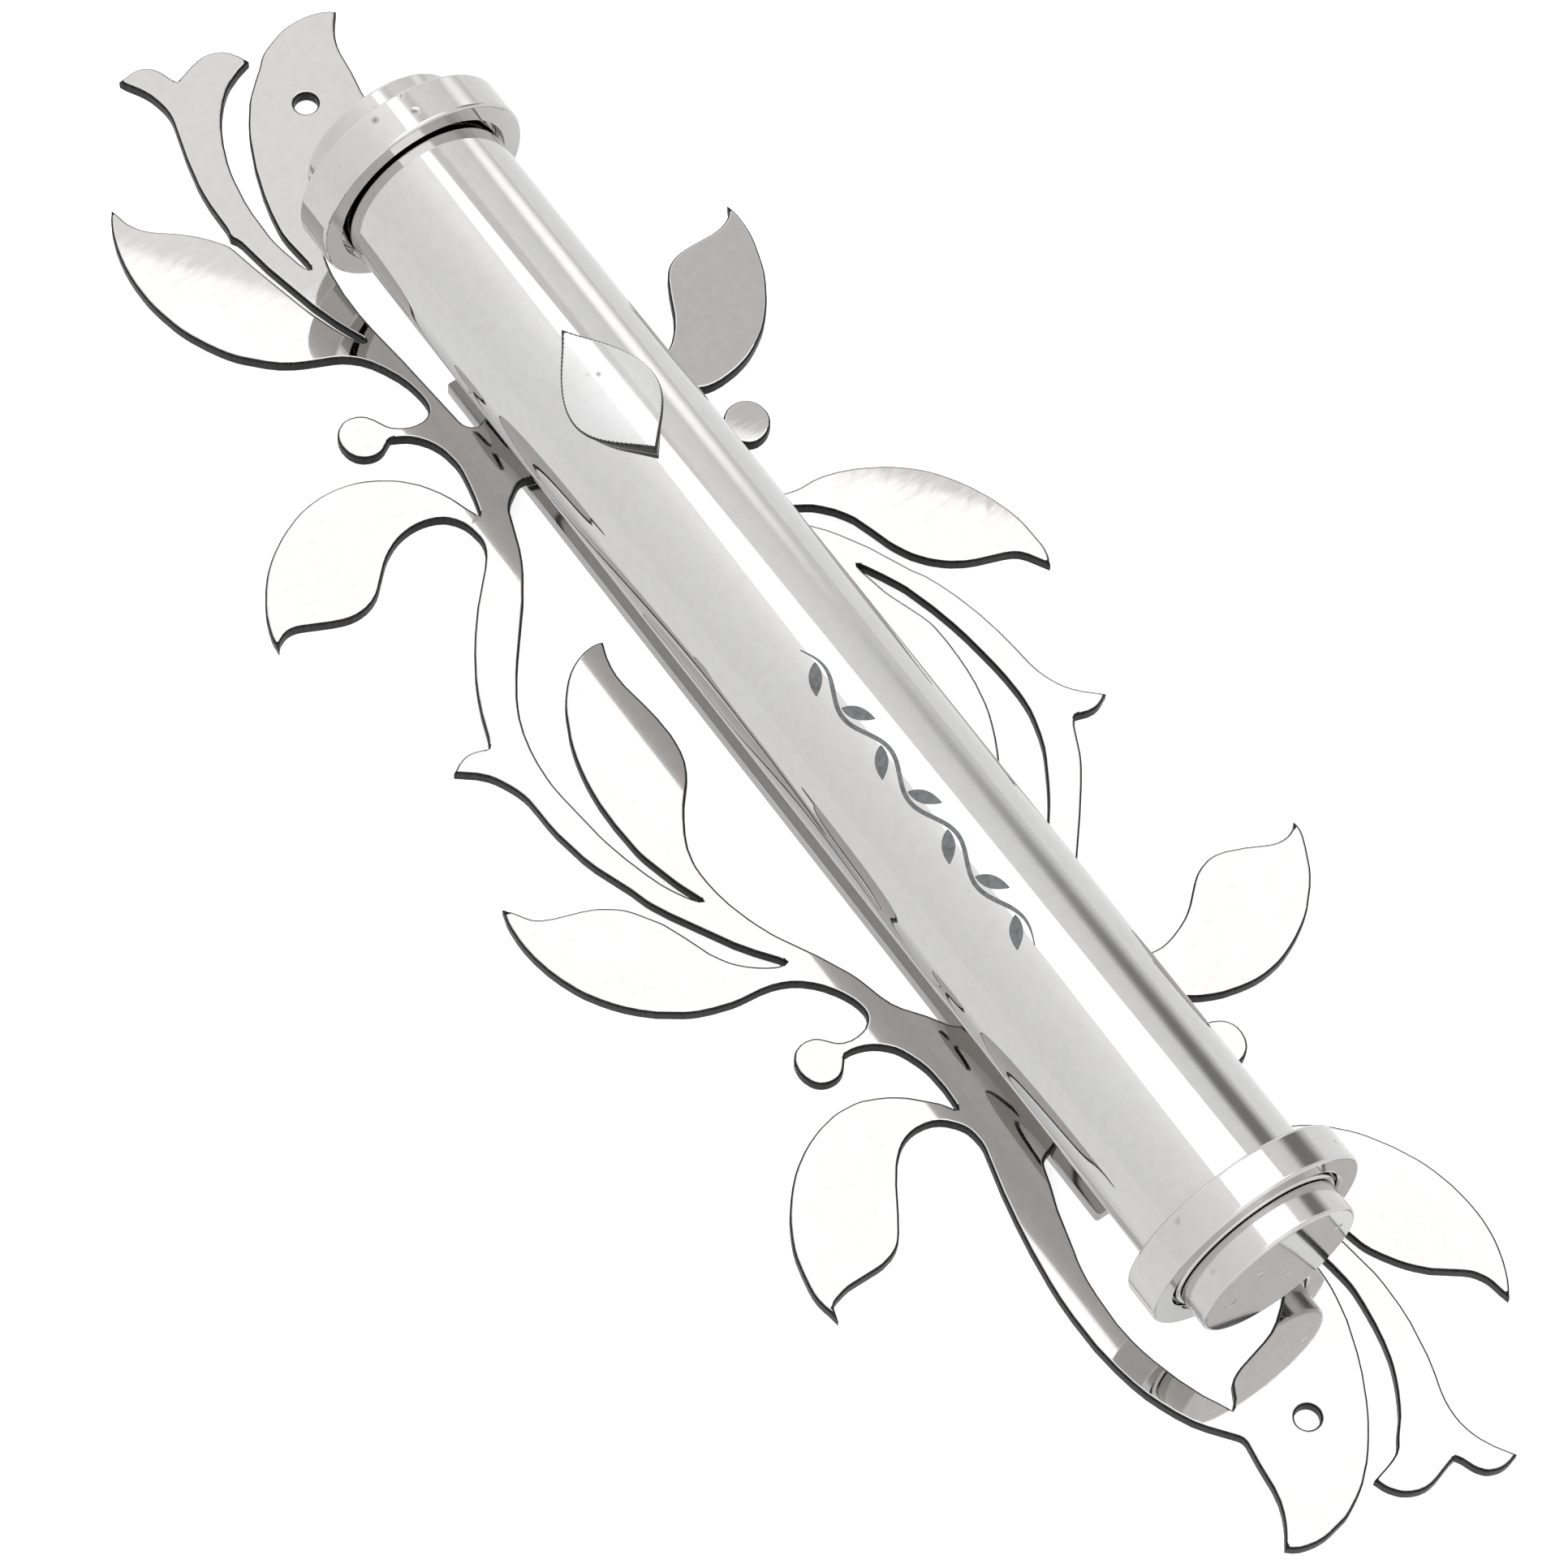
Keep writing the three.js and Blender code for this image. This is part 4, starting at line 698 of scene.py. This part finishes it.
PLATE_STEEL = polished("vine_mirror_steel", (0.530, 0.512, 0.496), (0.512, 0.493, 0.477), (0.015, 0.035),
                       lines=((90, 1500, 90), (0, 0, 0.5)), ripple=0.006, line_bump=0.02)
TUBE_STEEL = polished("tube_mirror_steel", (0.617, 0.604, 0.592), (0.598, 0.584, 0.571), (0.015, 0.035),
                      lines=((1400, 14, 1400), (0, 0, 0)), ripple=0.0, line_bump=0.02)
COLLAR_STEEL = polished("collar_polished_steel", (0.612, 0.598, 0.584), (0.575, 0.560, 0.546), (0.02, 0.045),
                        lines=((30, 1500, 30), (0, 0, 0)), pits=0.8, ripple=0.09, line_bump=0.05)
PLUG_STEEL = polished("plug_polished_steel", (0.600, 0.584, 0.568), (0.545, 0.529, 0.512), (0.04, 0.10),
                      lines=((40, 900, 40), (0, 0, 0)), pits=0.9, ripple=0.22, line_bump=0.06)
SPRIG_STEEL = polished("sprig_cast_steel", (0.72, 0.712, 0.70), (0.60, 0.592, 0.58), (0.06, 0.14),
                       pits=0.3, ripple=0.12)
POST_STEEL = polished("post_turned_steel", (0.46, 0.45, 0.44), (0.36, 0.35, 0.34), (0.14, 0.24),
                      lines=((40, 40, 2600), (0, 0, 0)), line_bump=0.15)
RAIL_STEEL = polished("rail_brushed_steel", (0.60, 0.592, 0.58), (0.54, 0.532, 0.52), (0.06, 0.13),
                      lines=((1800, 16, 1800), (0, 0, 0)), line_bump=0.12)
SCREW_STEEL = polished("screw_plain_steel", (0.50, 0.50, 0.49), (0.38, 0.38, 0.37), (0.2, 0.34), pits=0.2)


def painted_shade_edge(name, low, high):
    """A cut or cast side, striped across its thickness. Its near-black colour is painted shade, standing in for the
    dark reflections and shadow along the edges.
    """
    n = Nodes(name)
    stripes = n.noise(n.mapped((2600, 2600, 60)), 1.0, 3.0, 0.6)
    n.link(n.ramp(stripes, [(0.3, (low,) * 3), (0.7, (high, high * 0.985, high * 0.97))]), n.bsdf.inputs["Base Color"])
    n.bsdf.inputs["Metallic"].default_value = 0.3
    n.bsdf.inputs["Specular IOR Level"].default_value = 0.1
    n.link(n.spread(stripes, 0.3, 0.7, 0.3, 0.45), n.bsdf.inputs["Roughness"])
    n.link(n.bump(stripes, 0.35, 0.00003), n.bsdf.inputs["Normal"])
    return n.mat


def rubber():
    n = Nodes("seal_black_rubber")
    g = n.noise(n.mapped((1, 1, 1)), 1400.0, 3.0)
    n.link(n.ramp(g, [(0.3, (0.012, 0.012, 0.012)), (0.7, (0.03, 0.03, 0.03))]), n.bsdf.inputs["Base Color"])
    n.link(n.spread(g, 0.3, 0.7, 0.45, 0.62), n.bsdf.inputs["Roughness"])
    n.link(n.bump(g, 0.2, 0.00003), n.bsdf.inputs["Normal"])
    return n.mat


def parchment():
    n = Nodes("scroll_parchment")
    blot = n.noise(n.mapped((1, 1, 1)), 55.0, 4.0)
    fibre = n.noise(n.mapped((500, 900, 500)), 1.0, 4.0, 0.65)
    mix = n.node("ShaderNodeMix", data_type="RGBA", blend_type="MULTIPLY")
    mix.inputs[0].default_value = 0.5
    n.link(n.ramp(blot, [(0.3, (0.70, 0.60, 0.43)), (0.72, (0.83, 0.75, 0.58))]), mix.inputs[6])
    n.link(n.ramp(fibre, [(0.3, (0.82, 0.80, 0.76)), (0.7, (1, 1, 1))]), mix.inputs[7])
    n.link(mix.outputs[2], n.bsdf.inputs["Base Color"])
    n.link(n.spread(fibre, 0.3, 0.7, 0.62, 0.85), n.bsdf.inputs["Roughness"])
    n.link(n.bump(fibre, 0.3, 0.00005), n.bsdf.inputs["Normal"])
    n.bsdf.inputs["Sheen Weight"].default_value = 0.1
    return n.mat


def etched():
    """The shallow etched motif: dull, dark grey."""
    n = Nodes("etched_motif")
    g = n.noise(n.mapped((1, 1, 1)), 1800.0, 3.0)
    n.link(n.ramp(g, [(0.3, (0.09, 0.094, 0.095)), (0.7, (0.17, 0.174, 0.175))]), n.bsdf.inputs["Base Color"])
    n.bsdf.inputs["Metallic"].default_value = 0.75
    n.link(n.spread(g, 0.3, 0.7, 0.4, 0.6), n.bsdf.inputs["Roughness"])
    n.link(n.bump(g, 0.25, 0.00003), n.bsdf.inputs["Normal"])
    return n.mat


def floor_paint():
    n = Nodes("studio_floor")
    g = n.noise(n.mapped((1, 1, 1)), 6.0, 2.0)
    n.link(n.ramp(g, [(0.3, (0.90, 0.90, 0.90)), (0.7, (0.915, 0.915, 0.915))]), n.bsdf.inputs["Base Color"])
    n.bsdf.inputs["Roughness"].default_value = 0.9
    n.bsdf.inputs["Specular IOR Level"].default_value = 0.1
    n.bsdf.inputs["Emission Color"].default_value = (1, 1, 1, 1)
    n.bsdf.inputs["Emission Strength"].default_value = 0.62
    return n.mat


# Both edge materials are painted shade: near-black sides standing in for the dark reflections and shadow along the
# edges.
PLATE_EDGE_PAINTED_SHADE, SPRIG_EDGE_PAINTED_SHADE = painted_shade_edge("vine_edge_painted_shade", 0.005, 0.028), painted_shade_edge("sprig_edge_painted_shade", 0.012, 0.05)
RUBBER, PARCHMENT, ETCHED = rubber(), parchment(), etched()


def dress(o, mats, body, slot, *nodes):
    for m in mats:
        o.data.materials.append(m)
    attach(o, body)
    if nodes:
        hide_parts(*nodes)
    return o


# ---- the vine plate -------------------------------------------------------------------------
plate_loops = [
    loop_of(VINE_EDGE),
    loop_of(MIDDLE_OPENING),
    loop_of(UPPER_OPENING),
    loop_of(LOWER_OPENING),
    circle(1.5, 90.75, 1.3),
    circle(-1.25, -89.6, 1.3),
    circle(TUBE_X, POST_Y, 1.8),
    circle(TUBE_X, -POST_Y, 1.8),
]
v, f, nn, kinds = cut_sheet(plate_loops, PLATE_BACK, PLATE_FRONT, 0.32, 0.10)
# The walls and the outer part of the front rounding take the edge material, a near-black outline of painted shade.
plate = make("vine_plate_polished", v, f, nn, [1 if k in (1, 3) else 0 for k in kinds])
dress(plate, [PLATE_STEEL, PLATE_EDGE_PAINTED_SHADE], "case", "polished_plate", "vine_plate")

# ---- the rail behind it ---------------------------------------------------------------------
rx, rw, ry0, ry1 = -0.23, 4.8, -60.7, 54.1


def rounded_rect(x0, y0, x1, y1, r, n=6):
    out = []
    for cx, cy, a0 in ((x1 - r, y1 - r, 0), (x0 + r, y1 - r, 90), (x0 + r, y0 + r, 180), (x1 - r, y0 + r, 270)):
        for k in range(n + 1):
            a = math.radians(a0 + 90 * k / n)
            out.append((cx + r * math.cos(a), cy + r * math.sin(a)))
    return np.array(out)


v, f, nn, kinds = cut_sheet(
    [rounded_rect(rx - rw, ry0, rx + rw, ry1, 0.4), circle(TUBE_X, POST_Y, 2.6), circle(TUBE_X, -POST_Y, 2.6)],
    0.0, 1.5, 0.15, 0.1, longest=2.0, rings=3,
)
rail = make("mounting_rail_brushed", v, f, nn, [0] * len(kinds))
dress(rail, [RAIL_STEEL], "case", "satin_rail", "mounting_rail")

# ---- turned pieces ----------------------------------------------------------------------------
tube = turned("scroll_tube_polished",
              [(BORE_R, TUBE_TOP), (TUBE_R, TUBE_TOP), (TUBE_R, TUBE_BOTTOM), (BORE_R, TUBE_BOTTOM)],
              [0.1, 0.12, 0.36, 0.1], closed=True, around=256)
dress(tube, [TUBE_STEEL], "case", "polished_tube", "scroll_tube")

for which, y0, length in (("upper", TUBE_TOP - 4.7, 4.7), ("lower", TUBE_BOTTOM, 4.3)):
    profile = [(9.8, y0 + length), (12.36, y0 + length), (12.36, y0), (9.8, y0)]
    radii = [0.12, 0.38, 0.38, 0.12]
    if which == "upper":  # its bore opens out at the lower face, which is the black line round the tube
        profile[3:] = [(10.08, y0), (10.08, y0 + 1.6), (9.8, y0 + 1.6)]
        radii[3:] = [0.1, 0.1, 0.05]
    else:  # its end has a wider rounding at the bore, a groove round the plug
        radii[3] = 0.5
    o = turned(which + "_collar_polished", profile, radii, closed=True, around=256)
    dress(o, [COLLAR_STEEL], "case", "polished_collar", which + "_collar")

for which, y0, s, head in (("upper", TUBE_TOP, 1, 3.6), ("lower", TUBE_BOTTOM, -1, 3.7)):
    prof = [(0, head), (9.11, head), (9.11, 0.1), (7.7, 0.1), (7.7, -3.5), (5.9, -3.5), (5.9, -5.7), (7.7, -5.7), (7.7, -9.0), (0, -9.0)]
    rad = [0, 0.45, 0.12, 0.1, 0.1, 0.2, 0.2, 0.1, 0.6, 0]
    o = turned(which + "_plug_polished", [(r, y0 + s * y) for r, y in prof], rad, around=224)
    dress(o, [PLUG_STEEL], which + "_plug", "polished_plug", which + "_end_plug")
    a = np.linspace(0, 2 * math.pi, 20, endpoint=False)
    ringc = [(6.95 + 0.9 * math.cos(-w), y0 - s * 4.6 + 0.9 * math.sin(-w)) for w in a]
    verts, faces, normals = [], [], []
    around = 128
    for i in range(around):
        t = 2 * math.pi * i / around
        for r, y in ringc:
            verts.append((TUBE_X + r * math.sin(t), y, TUBE_Z + r * math.cos(t)))
    for i in range(around):
        for k in range(len(ringc)):
            ids = [(i, k), ((i + 1) % around, k), ((i + 1) % around, (k + 1) % 20), (i, (k + 1) % 20)]
            faces.append([p * 20 + q for p, q in ids])
            for p, q in ids:
                t, w = 2 * math.pi * p / around, a[q]
                normals.append((math.cos(-w) * math.sin(t), math.sin(-w), math.cos(-w) * math.cos(t)))
    o = orient(which + "_seal_rubber", verts, faces, normals)
    dress(o, [RUBBER], which + "_plug", "seal_rubber", which + "_seal_ring")

# ---- saddle posts -------------------------------------------------------------------------------
for which, yc in (("upper", POST_Y), ("lower", -POST_Y)):
    around, rings = 72, 10
    R = 4.8
    foot = PLATE_FRONT + 0.1
    verts, faces = [], []

    def saddle(px, py):
        x = px - TUBE_X
        return min(7.4, TUBE_Z - math.sqrt(9.8**2 - x * x))

    verts.append((TUBE_X, yc, saddle(TUBE_X, yc)))
    for k in range(1, rings + 1):
        for i in range(around):
            t = 2 * math.pi * i / around
            px, py = TUBE_X + R * k / rings * math.cos(t), yc + R * k / rings * math.sin(t)
            verts.append((px, py, saddle(px, py)))
    low0 = len(verts)
    for rr, zz in ((R, foot + 0.25), (R - 0.25, foot), (1.8, foot), (1.8, 5.2)):
        for i in range(around):
            t = 2 * math.pi * i / around
            verts.append((TUBE_X + rr * math.cos(t), yc + rr * math.sin(t), zz))
    verts.append((TUBE_X, yc, 5.2))
    tip = len(verts) - 1

    def at(k, i):
        return 0 if k == 0 else 1 + (k - 1) * around + i % around

    for i in range(around):
        faces.append([0, at(1, i), at(1, i + 1)])
        for k in range(1, rings):
            faces.append([at(k, i), at(k + 1, i), at(k + 1, i + 1), at(k, i + 1)])
        j = (i + 1) % around
        faces.append([at(rings, i), low0 + i, low0 + j, at(rings, i + 1)])
        for k in range(3):
            a0, b0 = low0 + k * around, low0 + (k + 1) * around
            faces.append([a0 + i, b0 + i, b0 + j, a0 + j])
        faces.append([low0 + 3 * around + i, tip, low0 + 3 * around + j])
    o = make(which + "_saddle_turned", verts, faces)
    m = o.modifiers.new("edge_split_by_angle", "EDGE_SPLIT")
    m.split_angle = math.radians(35)
    dress(o, [POST_STEEL], "case", "post_steel", which + "_saddle_post")
    for part in (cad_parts[which + "_rail_screw"],):
        part.data.materials.clear()
        part.data.materials.append(SCREW_STEEL)

# ---- the raised leaf --------------------------------------------------------------------------
SPRIG_MID = -1.2
half = np.array([
    (0, 23.6), (1.21, 25.01), (2.42, 26.42), (3.44, 27.83), (4.16, 29.23), (4.54, 30.64), (4.56, 32.05), (4.24, 33.46), (3.62, 34.87), (2.78, 36.27), (1.8, 37.68), (0.81, 39.09), (0, 40.5),
])


def chaikin(p, keep, times=2):
    """Rounds a closed outline, but holds the corners listed in keep."""
    pts = [(tuple(q), i in keep) for i, q in enumerate(p)]
    for _ in range(times):
        out = []
        n = len(pts)
        for i in range(n):
            (a, ka), (b, kb) = pts[i], pts[(i + 1) % n]
            a, b = np.array(a), np.array(b)
            if ka:
                out.append((tuple(a), True))
            else:
                out.append((tuple(0.75 * a + 0.25 * b), False))
            if not kb:
                out.append((tuple(0.25 * a + 0.75 * b), False))
        pts = out
    return np.array([q for q, _ in pts])


whole = np.concatenate([half, (half[1:-1] * (-1, 1))[::-1]])
tips = [0, 12]
outline = chaikin(whole, set(tips)) + (SPRIG_MID, 0)
gx, gy = np.meshgrid(np.arange(-11, 9, 0.45), np.arange(23, 41, 0.45))
v, f, nn, kinds = cut_sheet([outline], 0.0, 1.35, 0.36, 0.05, longest=0.35, rings=6,
                            extra=np.stack([gx.ravel(), gy.ravel()], 1), wrap=onto_tube(TUBE_R + 0.03))
# The sprig's walls and the outer part of its rounding take the near-black edge material, painted shade for the dark
# reflections and shadows along its arms.
sprig = make("front_sprig_cast", v, f, nn, [1 if k in (1, 3) else 0 for k in kinds])
dress(sprig, [SPRIG_STEEL, SPRIG_EDGE_PAINTED_SHADE], "case", "sprig_steel", "front_sprig")

# ---- the etched line motif ------------------------------------------------------------------------
S_MID, Y0, Y1 = -2.2, -2.5, -41.5


def ribbon(path, widths):
    p = np.array(path, float)
    t = np.gradient(p, axis=0)
    t /= np.maximum(np.linalg.norm(t, axis=1, keepdims=True), 1e-9)
    n = np.stack([-t[:, 1], t[:, 0]], 1)
    w = np.array(widths)[:, None] / 2
    return np.concatenate([p + n * w, (p - n * w)[::-1]])


def etch(name, outline):
    gx, gy = np.meshgrid(np.arange(-6, 2, 0.8), np.arange(Y1 - 2, Y0 + 2, 0.8))
    v, f, nn, k = cut_sheet([outline], 0.0, 0.03, 0.012, 0.004, longest=0.4, rings=1,
                            extra=np.stack([gx.ravel(), gy.ravel()], 1), wrap=onto_tube(TUBE_R + 0.005))
    o = make(name, v, f, nn, [0] * len(k))
    return dress(o, [ETCHED], "case", "polished_tube")


waves = 7
length = Y0 - Y1
ys = np.linspace(Y0, Y1, 160)
stem = [(S_MID + 0.85 * math.sin((Y0 - y) / length * waves * math.pi), y) for y in ys]
w = [0.46 * min(1, 6 * min((Y0 - y) / length, (y - Y1) / length) + 0.25) for y in ys]
etch("etched_stem", ribbon(stem, w))
for i in range(waves):
    u = (i + 0.5) / waves
    side = 1 if i % 2 == 0 else -1
    y = Y0 - u * length
    base = np.array([S_MID - side * 0.05, y + 0.9])
    base[0] = S_MID + 0.85 * math.sin((Y0 - base[1]) / length * waves * math.pi) - side * 0.35
    tip = base + np.array([-side * 2.0, -3.0])
    d = tip - base
    n = np.array([-d[1], d[0]]) / np.linalg.norm(d)
    leaf = []
    for s, r in ((1, np.linspace(0, 1, 14)), (-1, np.linspace(1, 0, 14)[1:-1])):
        for q in r:
            leaf.append(base + d * q + n * s * 0.78 * math.sin(math.pi * q) ** 0.8 * (1 - 0.25 * q))
    etch("etched_leaf_%d" % (i + 1), np.array(leaf))

# ---- the rolled parchment ------------------------------------------------------------------------
core, sheet_t, pitch = 3.2, 0.35, 0.8
turns = (6.7 - sheet_t - core) / pitch
steps = 260
cz = TUBE_Z - 1.0
mid = (TUBE_TOP + TUBE_BOTTOM) / 2
verts, faces, normals = [], [], []
rows = np.linspace(mid - 60, mid + 60, 9)
for y in rows:
    for i in range(steps + 1):
        a = i / steps * turns * 2 * math.pi
        r = core + i / steps * turns * pitch
        for rr in (r, r + sheet_t):
            verts.append((TUBE_X + rr * math.cos(a), y, cz + rr * math.sin(a)))
W = 2 * (steps + 1)


def q4(a, b, c, d, n):
    faces.append([a, b, c, d])
    normals.extend(n)


for k in range(len(rows) - 1):
    for i in range(steps):
        a0, a1 = (i / steps * turns * 2 * math.pi, (i + 1) / steps * turns * 2 * math.pi)
        for side in (0, 1):
            s = 1 if side else -1
            n0, n1 = (s * math.cos(a0), 0, s * math.sin(a0)), (s * math.cos(a1), 0, s * math.sin(a1))
            q4(k * W + 2 * i + side, (k + 1) * W + 2 * i + side, (k + 1) * W + 2 * i + 2 + side, k * W + 2 * i + 2 + side, [n0, n0, n1, n1])
    for i, s in ((0, -1), (steps, 1)):
        a = i / steps * turns * 2 * math.pi
        n = (-math.sin(a) * s, 0, math.cos(a) * s)
        q4(k * W + 2 * i, k * W + 2 * i + 1, (k + 1) * W + 2 * i + 1, (k + 1) * W + 2 * i, [n] * 4)
for k, s in ((0, -1), (len(rows) - 1, 1)):
    for i in range(steps):
        q4(k * W + 2 * i, k * W + 2 * i + 1, k * W + 2 * i + 3, k * W + 2 * i + 2, [(0, s, 0)] * 4)
scroll = orient("parchment_roll", verts, faces, normals)
dress(scroll, [PARCHMENT], "scroll", "parchment", "parchment_scroll")

# ---- floor, light, camera -------------------------------------------------------------------------
floor_mesh = bpy.data.meshes.new("studio_floor")
n = 24
size = 3.0
fv, ff = [], []
for j in range(n + 1):
    for i in range(n + 1):
        fv.append((size * (i / n - 0.5) * 2, size * (j / n - 0.5) * 2, -0.0002))
for j in range(n):
    for i in range(n):
        a = j * (n + 1) + i
        ff.append((a, a + 1, a + n + 2, a + n + 1))
floor_mesh.from_pydata(fv, [], ff)
floor = bpy.data.objects.new("studio_floor", floor_mesh)
bpy.context.scene.collection.objects.link(floor)
floor.data.materials.append(floor_paint())
floor.visible_glossy = False


def glow(name, strength, colour=(1, 1, 1)):
    m = bpy.data.materials.new(name)
    m.use_nodes = True
    t = m.node_tree
    t.nodes.clear()
    e = t.nodes.new("ShaderNodeEmission")
    e.inputs["Color"].default_value = (*colour, 1)
    e.inputs["Strength"].default_value = strength
    o = t.nodes.new("ShaderNodeOutputMaterial")
    t.links.new(e.outputs[0], o.inputs["Surface"])
    return m


def card(name, corners, material, diffuse=True):
    """A studio light card: seen in reflections, not by the camera."""
    mesh = bpy.data.meshes.new(name)
    mesh.from_pydata([(x / 1000, y / 1000, z / 1000) for x, y, z in corners], [], [tuple(range(len(corners)))])
    o = bpy.data.objects.new(name, mesh)
    bpy.context.scene.collection.objects.link(o)
    o.data.materials.append(material)
    o.visible_camera = False
    o.visible_shadow = False
    o.visible_diffuse = diffuse
    return o


SOFTBOX_Z = 403
card("softbox", [(66, 344, SOFTBOX_Z), (437, -150, SOFTBOX_Z), (-144, -150, SOFTBOX_Z)], glow("softbox_glow", 2.05, (0.985, 1.0, 1.02)))
# what the steel sees below and to the right: a pale sweep, and a dark flag beside the tube's lower end
card("pale_sweep", [(-3000, -3000, -0.4), (3000, -3000, -0.4), (3000, 3000, -0.4), (-3000, 3000, -0.4)],
     glow("pale_sweep_glow", 1.06, (0.985, 1.0, 1.01)), diffuse=False)


def soft_card(name, centre, reach, strength, peak, start=0.15):
    """An oval studio card that fades out towards its rim; one of the three reaches is its thin way."""
    m = bpy.data.materials.new(name + "_glow")
    m.use_nodes = True
    t = m.node_tree
    t.nodes.clear()
    co = t.nodes.new("ShaderNodeTexCoord")
    sub = t.nodes.new("ShaderNodeVectorMath")
    sub.operation = "SUBTRACT"
    sub.inputs[1].default_value = [c / 1000 for c in centre]
    t.links.new(co.outputs["Object"], sub.inputs[0])
    div = t.nodes.new("ShaderNodeVectorMath")
    div.operation = "DIVIDE"
    div.inputs[1].default_value = [(abs(q) or 1000) / 1000 for q in reach]
    t.links.new(sub.outputs["Vector"], div.inputs[0])
    far = t.nodes.new("ShaderNodeVectorMath")
    far.operation = "LENGTH"
    t.links.new(div.outputs["Vector"], far.inputs[0])
    mr = t.nodes.new("ShaderNodeMapRange")
    mr.interpolation_type = "SMOOTHSTEP"
    for k, v in (("From Min", start), ("From Max", 1.0), ("To Min", peak), ("To Max", 0.0)):
        mr.inputs[k].default_value = v
    t.links.new(far.outputs["Value"], mr.inputs["Value"])
    e = t.nodes.new("ShaderNodeEmission")
    e.inputs["Strength"].default_value = strength
    clear = t.nodes.new("ShaderNodeBsdfTransparent")
    mix = t.nodes.new("ShaderNodeMixShader")
    t.links.new(mr.outputs["Result"], mix.inputs[0])
    t.links.new(clear.outputs[0], mix.inputs[1])
    t.links.new(e.outputs[0], mix.inputs[2])
    out = t.nodes.new("ShaderNodeOutputMaterial")
    t.links.new(mix.outputs[0], out.inputs["Surface"])
    c = np.array(centre, float)
    u, v = [np.eye(3)[i] * reach[i] for i in range(3) if reach[i]]
    return card(name, [tuple(c + a * u + b * v) for a, b in ((-1, -1), (1, -1), (1, 1), (-1, 1))], m, diffuse=False)


soft_card("right_flag", (348, 0, 150), (0, 158, 132), 0.16, 0.86, 0.3)
soft_card("right_bright", (349, 215, 128), (0, 85, 95), 1.85, 0.8, 0.2)
soft_card("high_right_flag", (184, 254, 404), (78, 78, 0), 0.85, 0.88, 0.4)
# A dim patch under the case, seen only in reflections: painted shadow standing in for the floor's shade beneath the
# plate and tube.
soft_card("under_case_painted_shadow", (0, 0, -0.3), (30, 112, 0), 0.22, 0.45, 0.55)

world = bpy.data.worlds.new("studio")
bpy.context.scene.world = world
world.use_nodes = True
wt = world.node_tree
bg = wt.nodes["Background"]
tc = wt.nodes.new("ShaderNodeTexCoord")
sep = wt.nodes.new("ShaderNodeSeparateXYZ")
wt.links.new(tc.outputs["Generated"], sep.inputs[0])
ramp = wt.nodes.new("ShaderNodeValToRGB")
mr = wt.nodes.new("ShaderNodeMapRange")
mr.inputs["From Min"].default_value = -1
mr.inputs["From Max"].default_value = 1
wt.links.new(sep.outputs["X"], mr.inputs["Value"])
els = ramp.color_ramp.elements
stops = [(0.03, 0.66), (0.10, 0.68), (0.30, 0.74), (0.46, 0.86), (0.64, 0.88), (0.73, 0.71), (0.86, 0.66), (0.95, 0.58)]
while len(els) < len(stops):
    els.new(0.5)
for e, (p, g) in zip(els, stops):
    e.position = p
    e.color = (g * 0.975, g * 0.99, g * 1.0, 1)
wt.links.new(mr.outputs["Result"], ramp.inputs["Fac"])
wt.links.new(ramp.outputs["Color"], bg.inputs["Color"])
bg.inputs["Strength"].default_value = 1.56

for name, pos, size_, power in (("fill_high", (0.25, 0.35, 1.6), 1.8, 9.0), ("fill_left", (-1.2, -0.5, 1.1), 1.4, 4.0)):
    L = bpy.data.lights.new(name, "AREA")
    L.shape = "SQUARE"
    L.size = size_
    L.energy = power
    o = bpy.data.objects.new(name, L)
    bpy.context.scene.collection.objects.link(o)
    o.location = pos
    o.rotation_euler = (-Vector(pos)).to_track_quat("-Z", "Y").to_euler()
    o.visible_camera = False
    o.visible_glossy = False

cam_data = bpy.data.cameras.new("photo_view")
cam_data.sensor_width = 36.0
cam_data.lens = 36.0 * 7578.3 / 1932
cam_data.shift_x = (966 - 986.64) / 1932
cam_data.shift_y = (970.27 - 966) / 1932
cam_data.clip_start = 0.01
cam_data.clip_end = 20
cam = bpy.data.objects.new("photo_view", cam_data)
bpy.context.scene.collection.objects.link(cam)
right = Vector((0.814701, -0.578473, 0.040392))
up = -Vector((-0.500431, -0.736561, -0.455023))
back = -Vector((0.29297, 0.350494, -0.889563))
cam.matrix_world = Matrix((
    (right.x, up.x, back.x, (-184.842 - 0.235) / 1000),
    (right.y, up.y, back.y, (-224.836 - 0.095) / 1000),
    (right.z, up.z, back.z, (555.064 + PLATE_FRONT) / 1000),
    (0, 0, 0, 1),
))
bpy.context.scene.camera = cam
bpy.context.scene.view_settings.view_transform = "Standard"

bpy.context.view_layer.update()
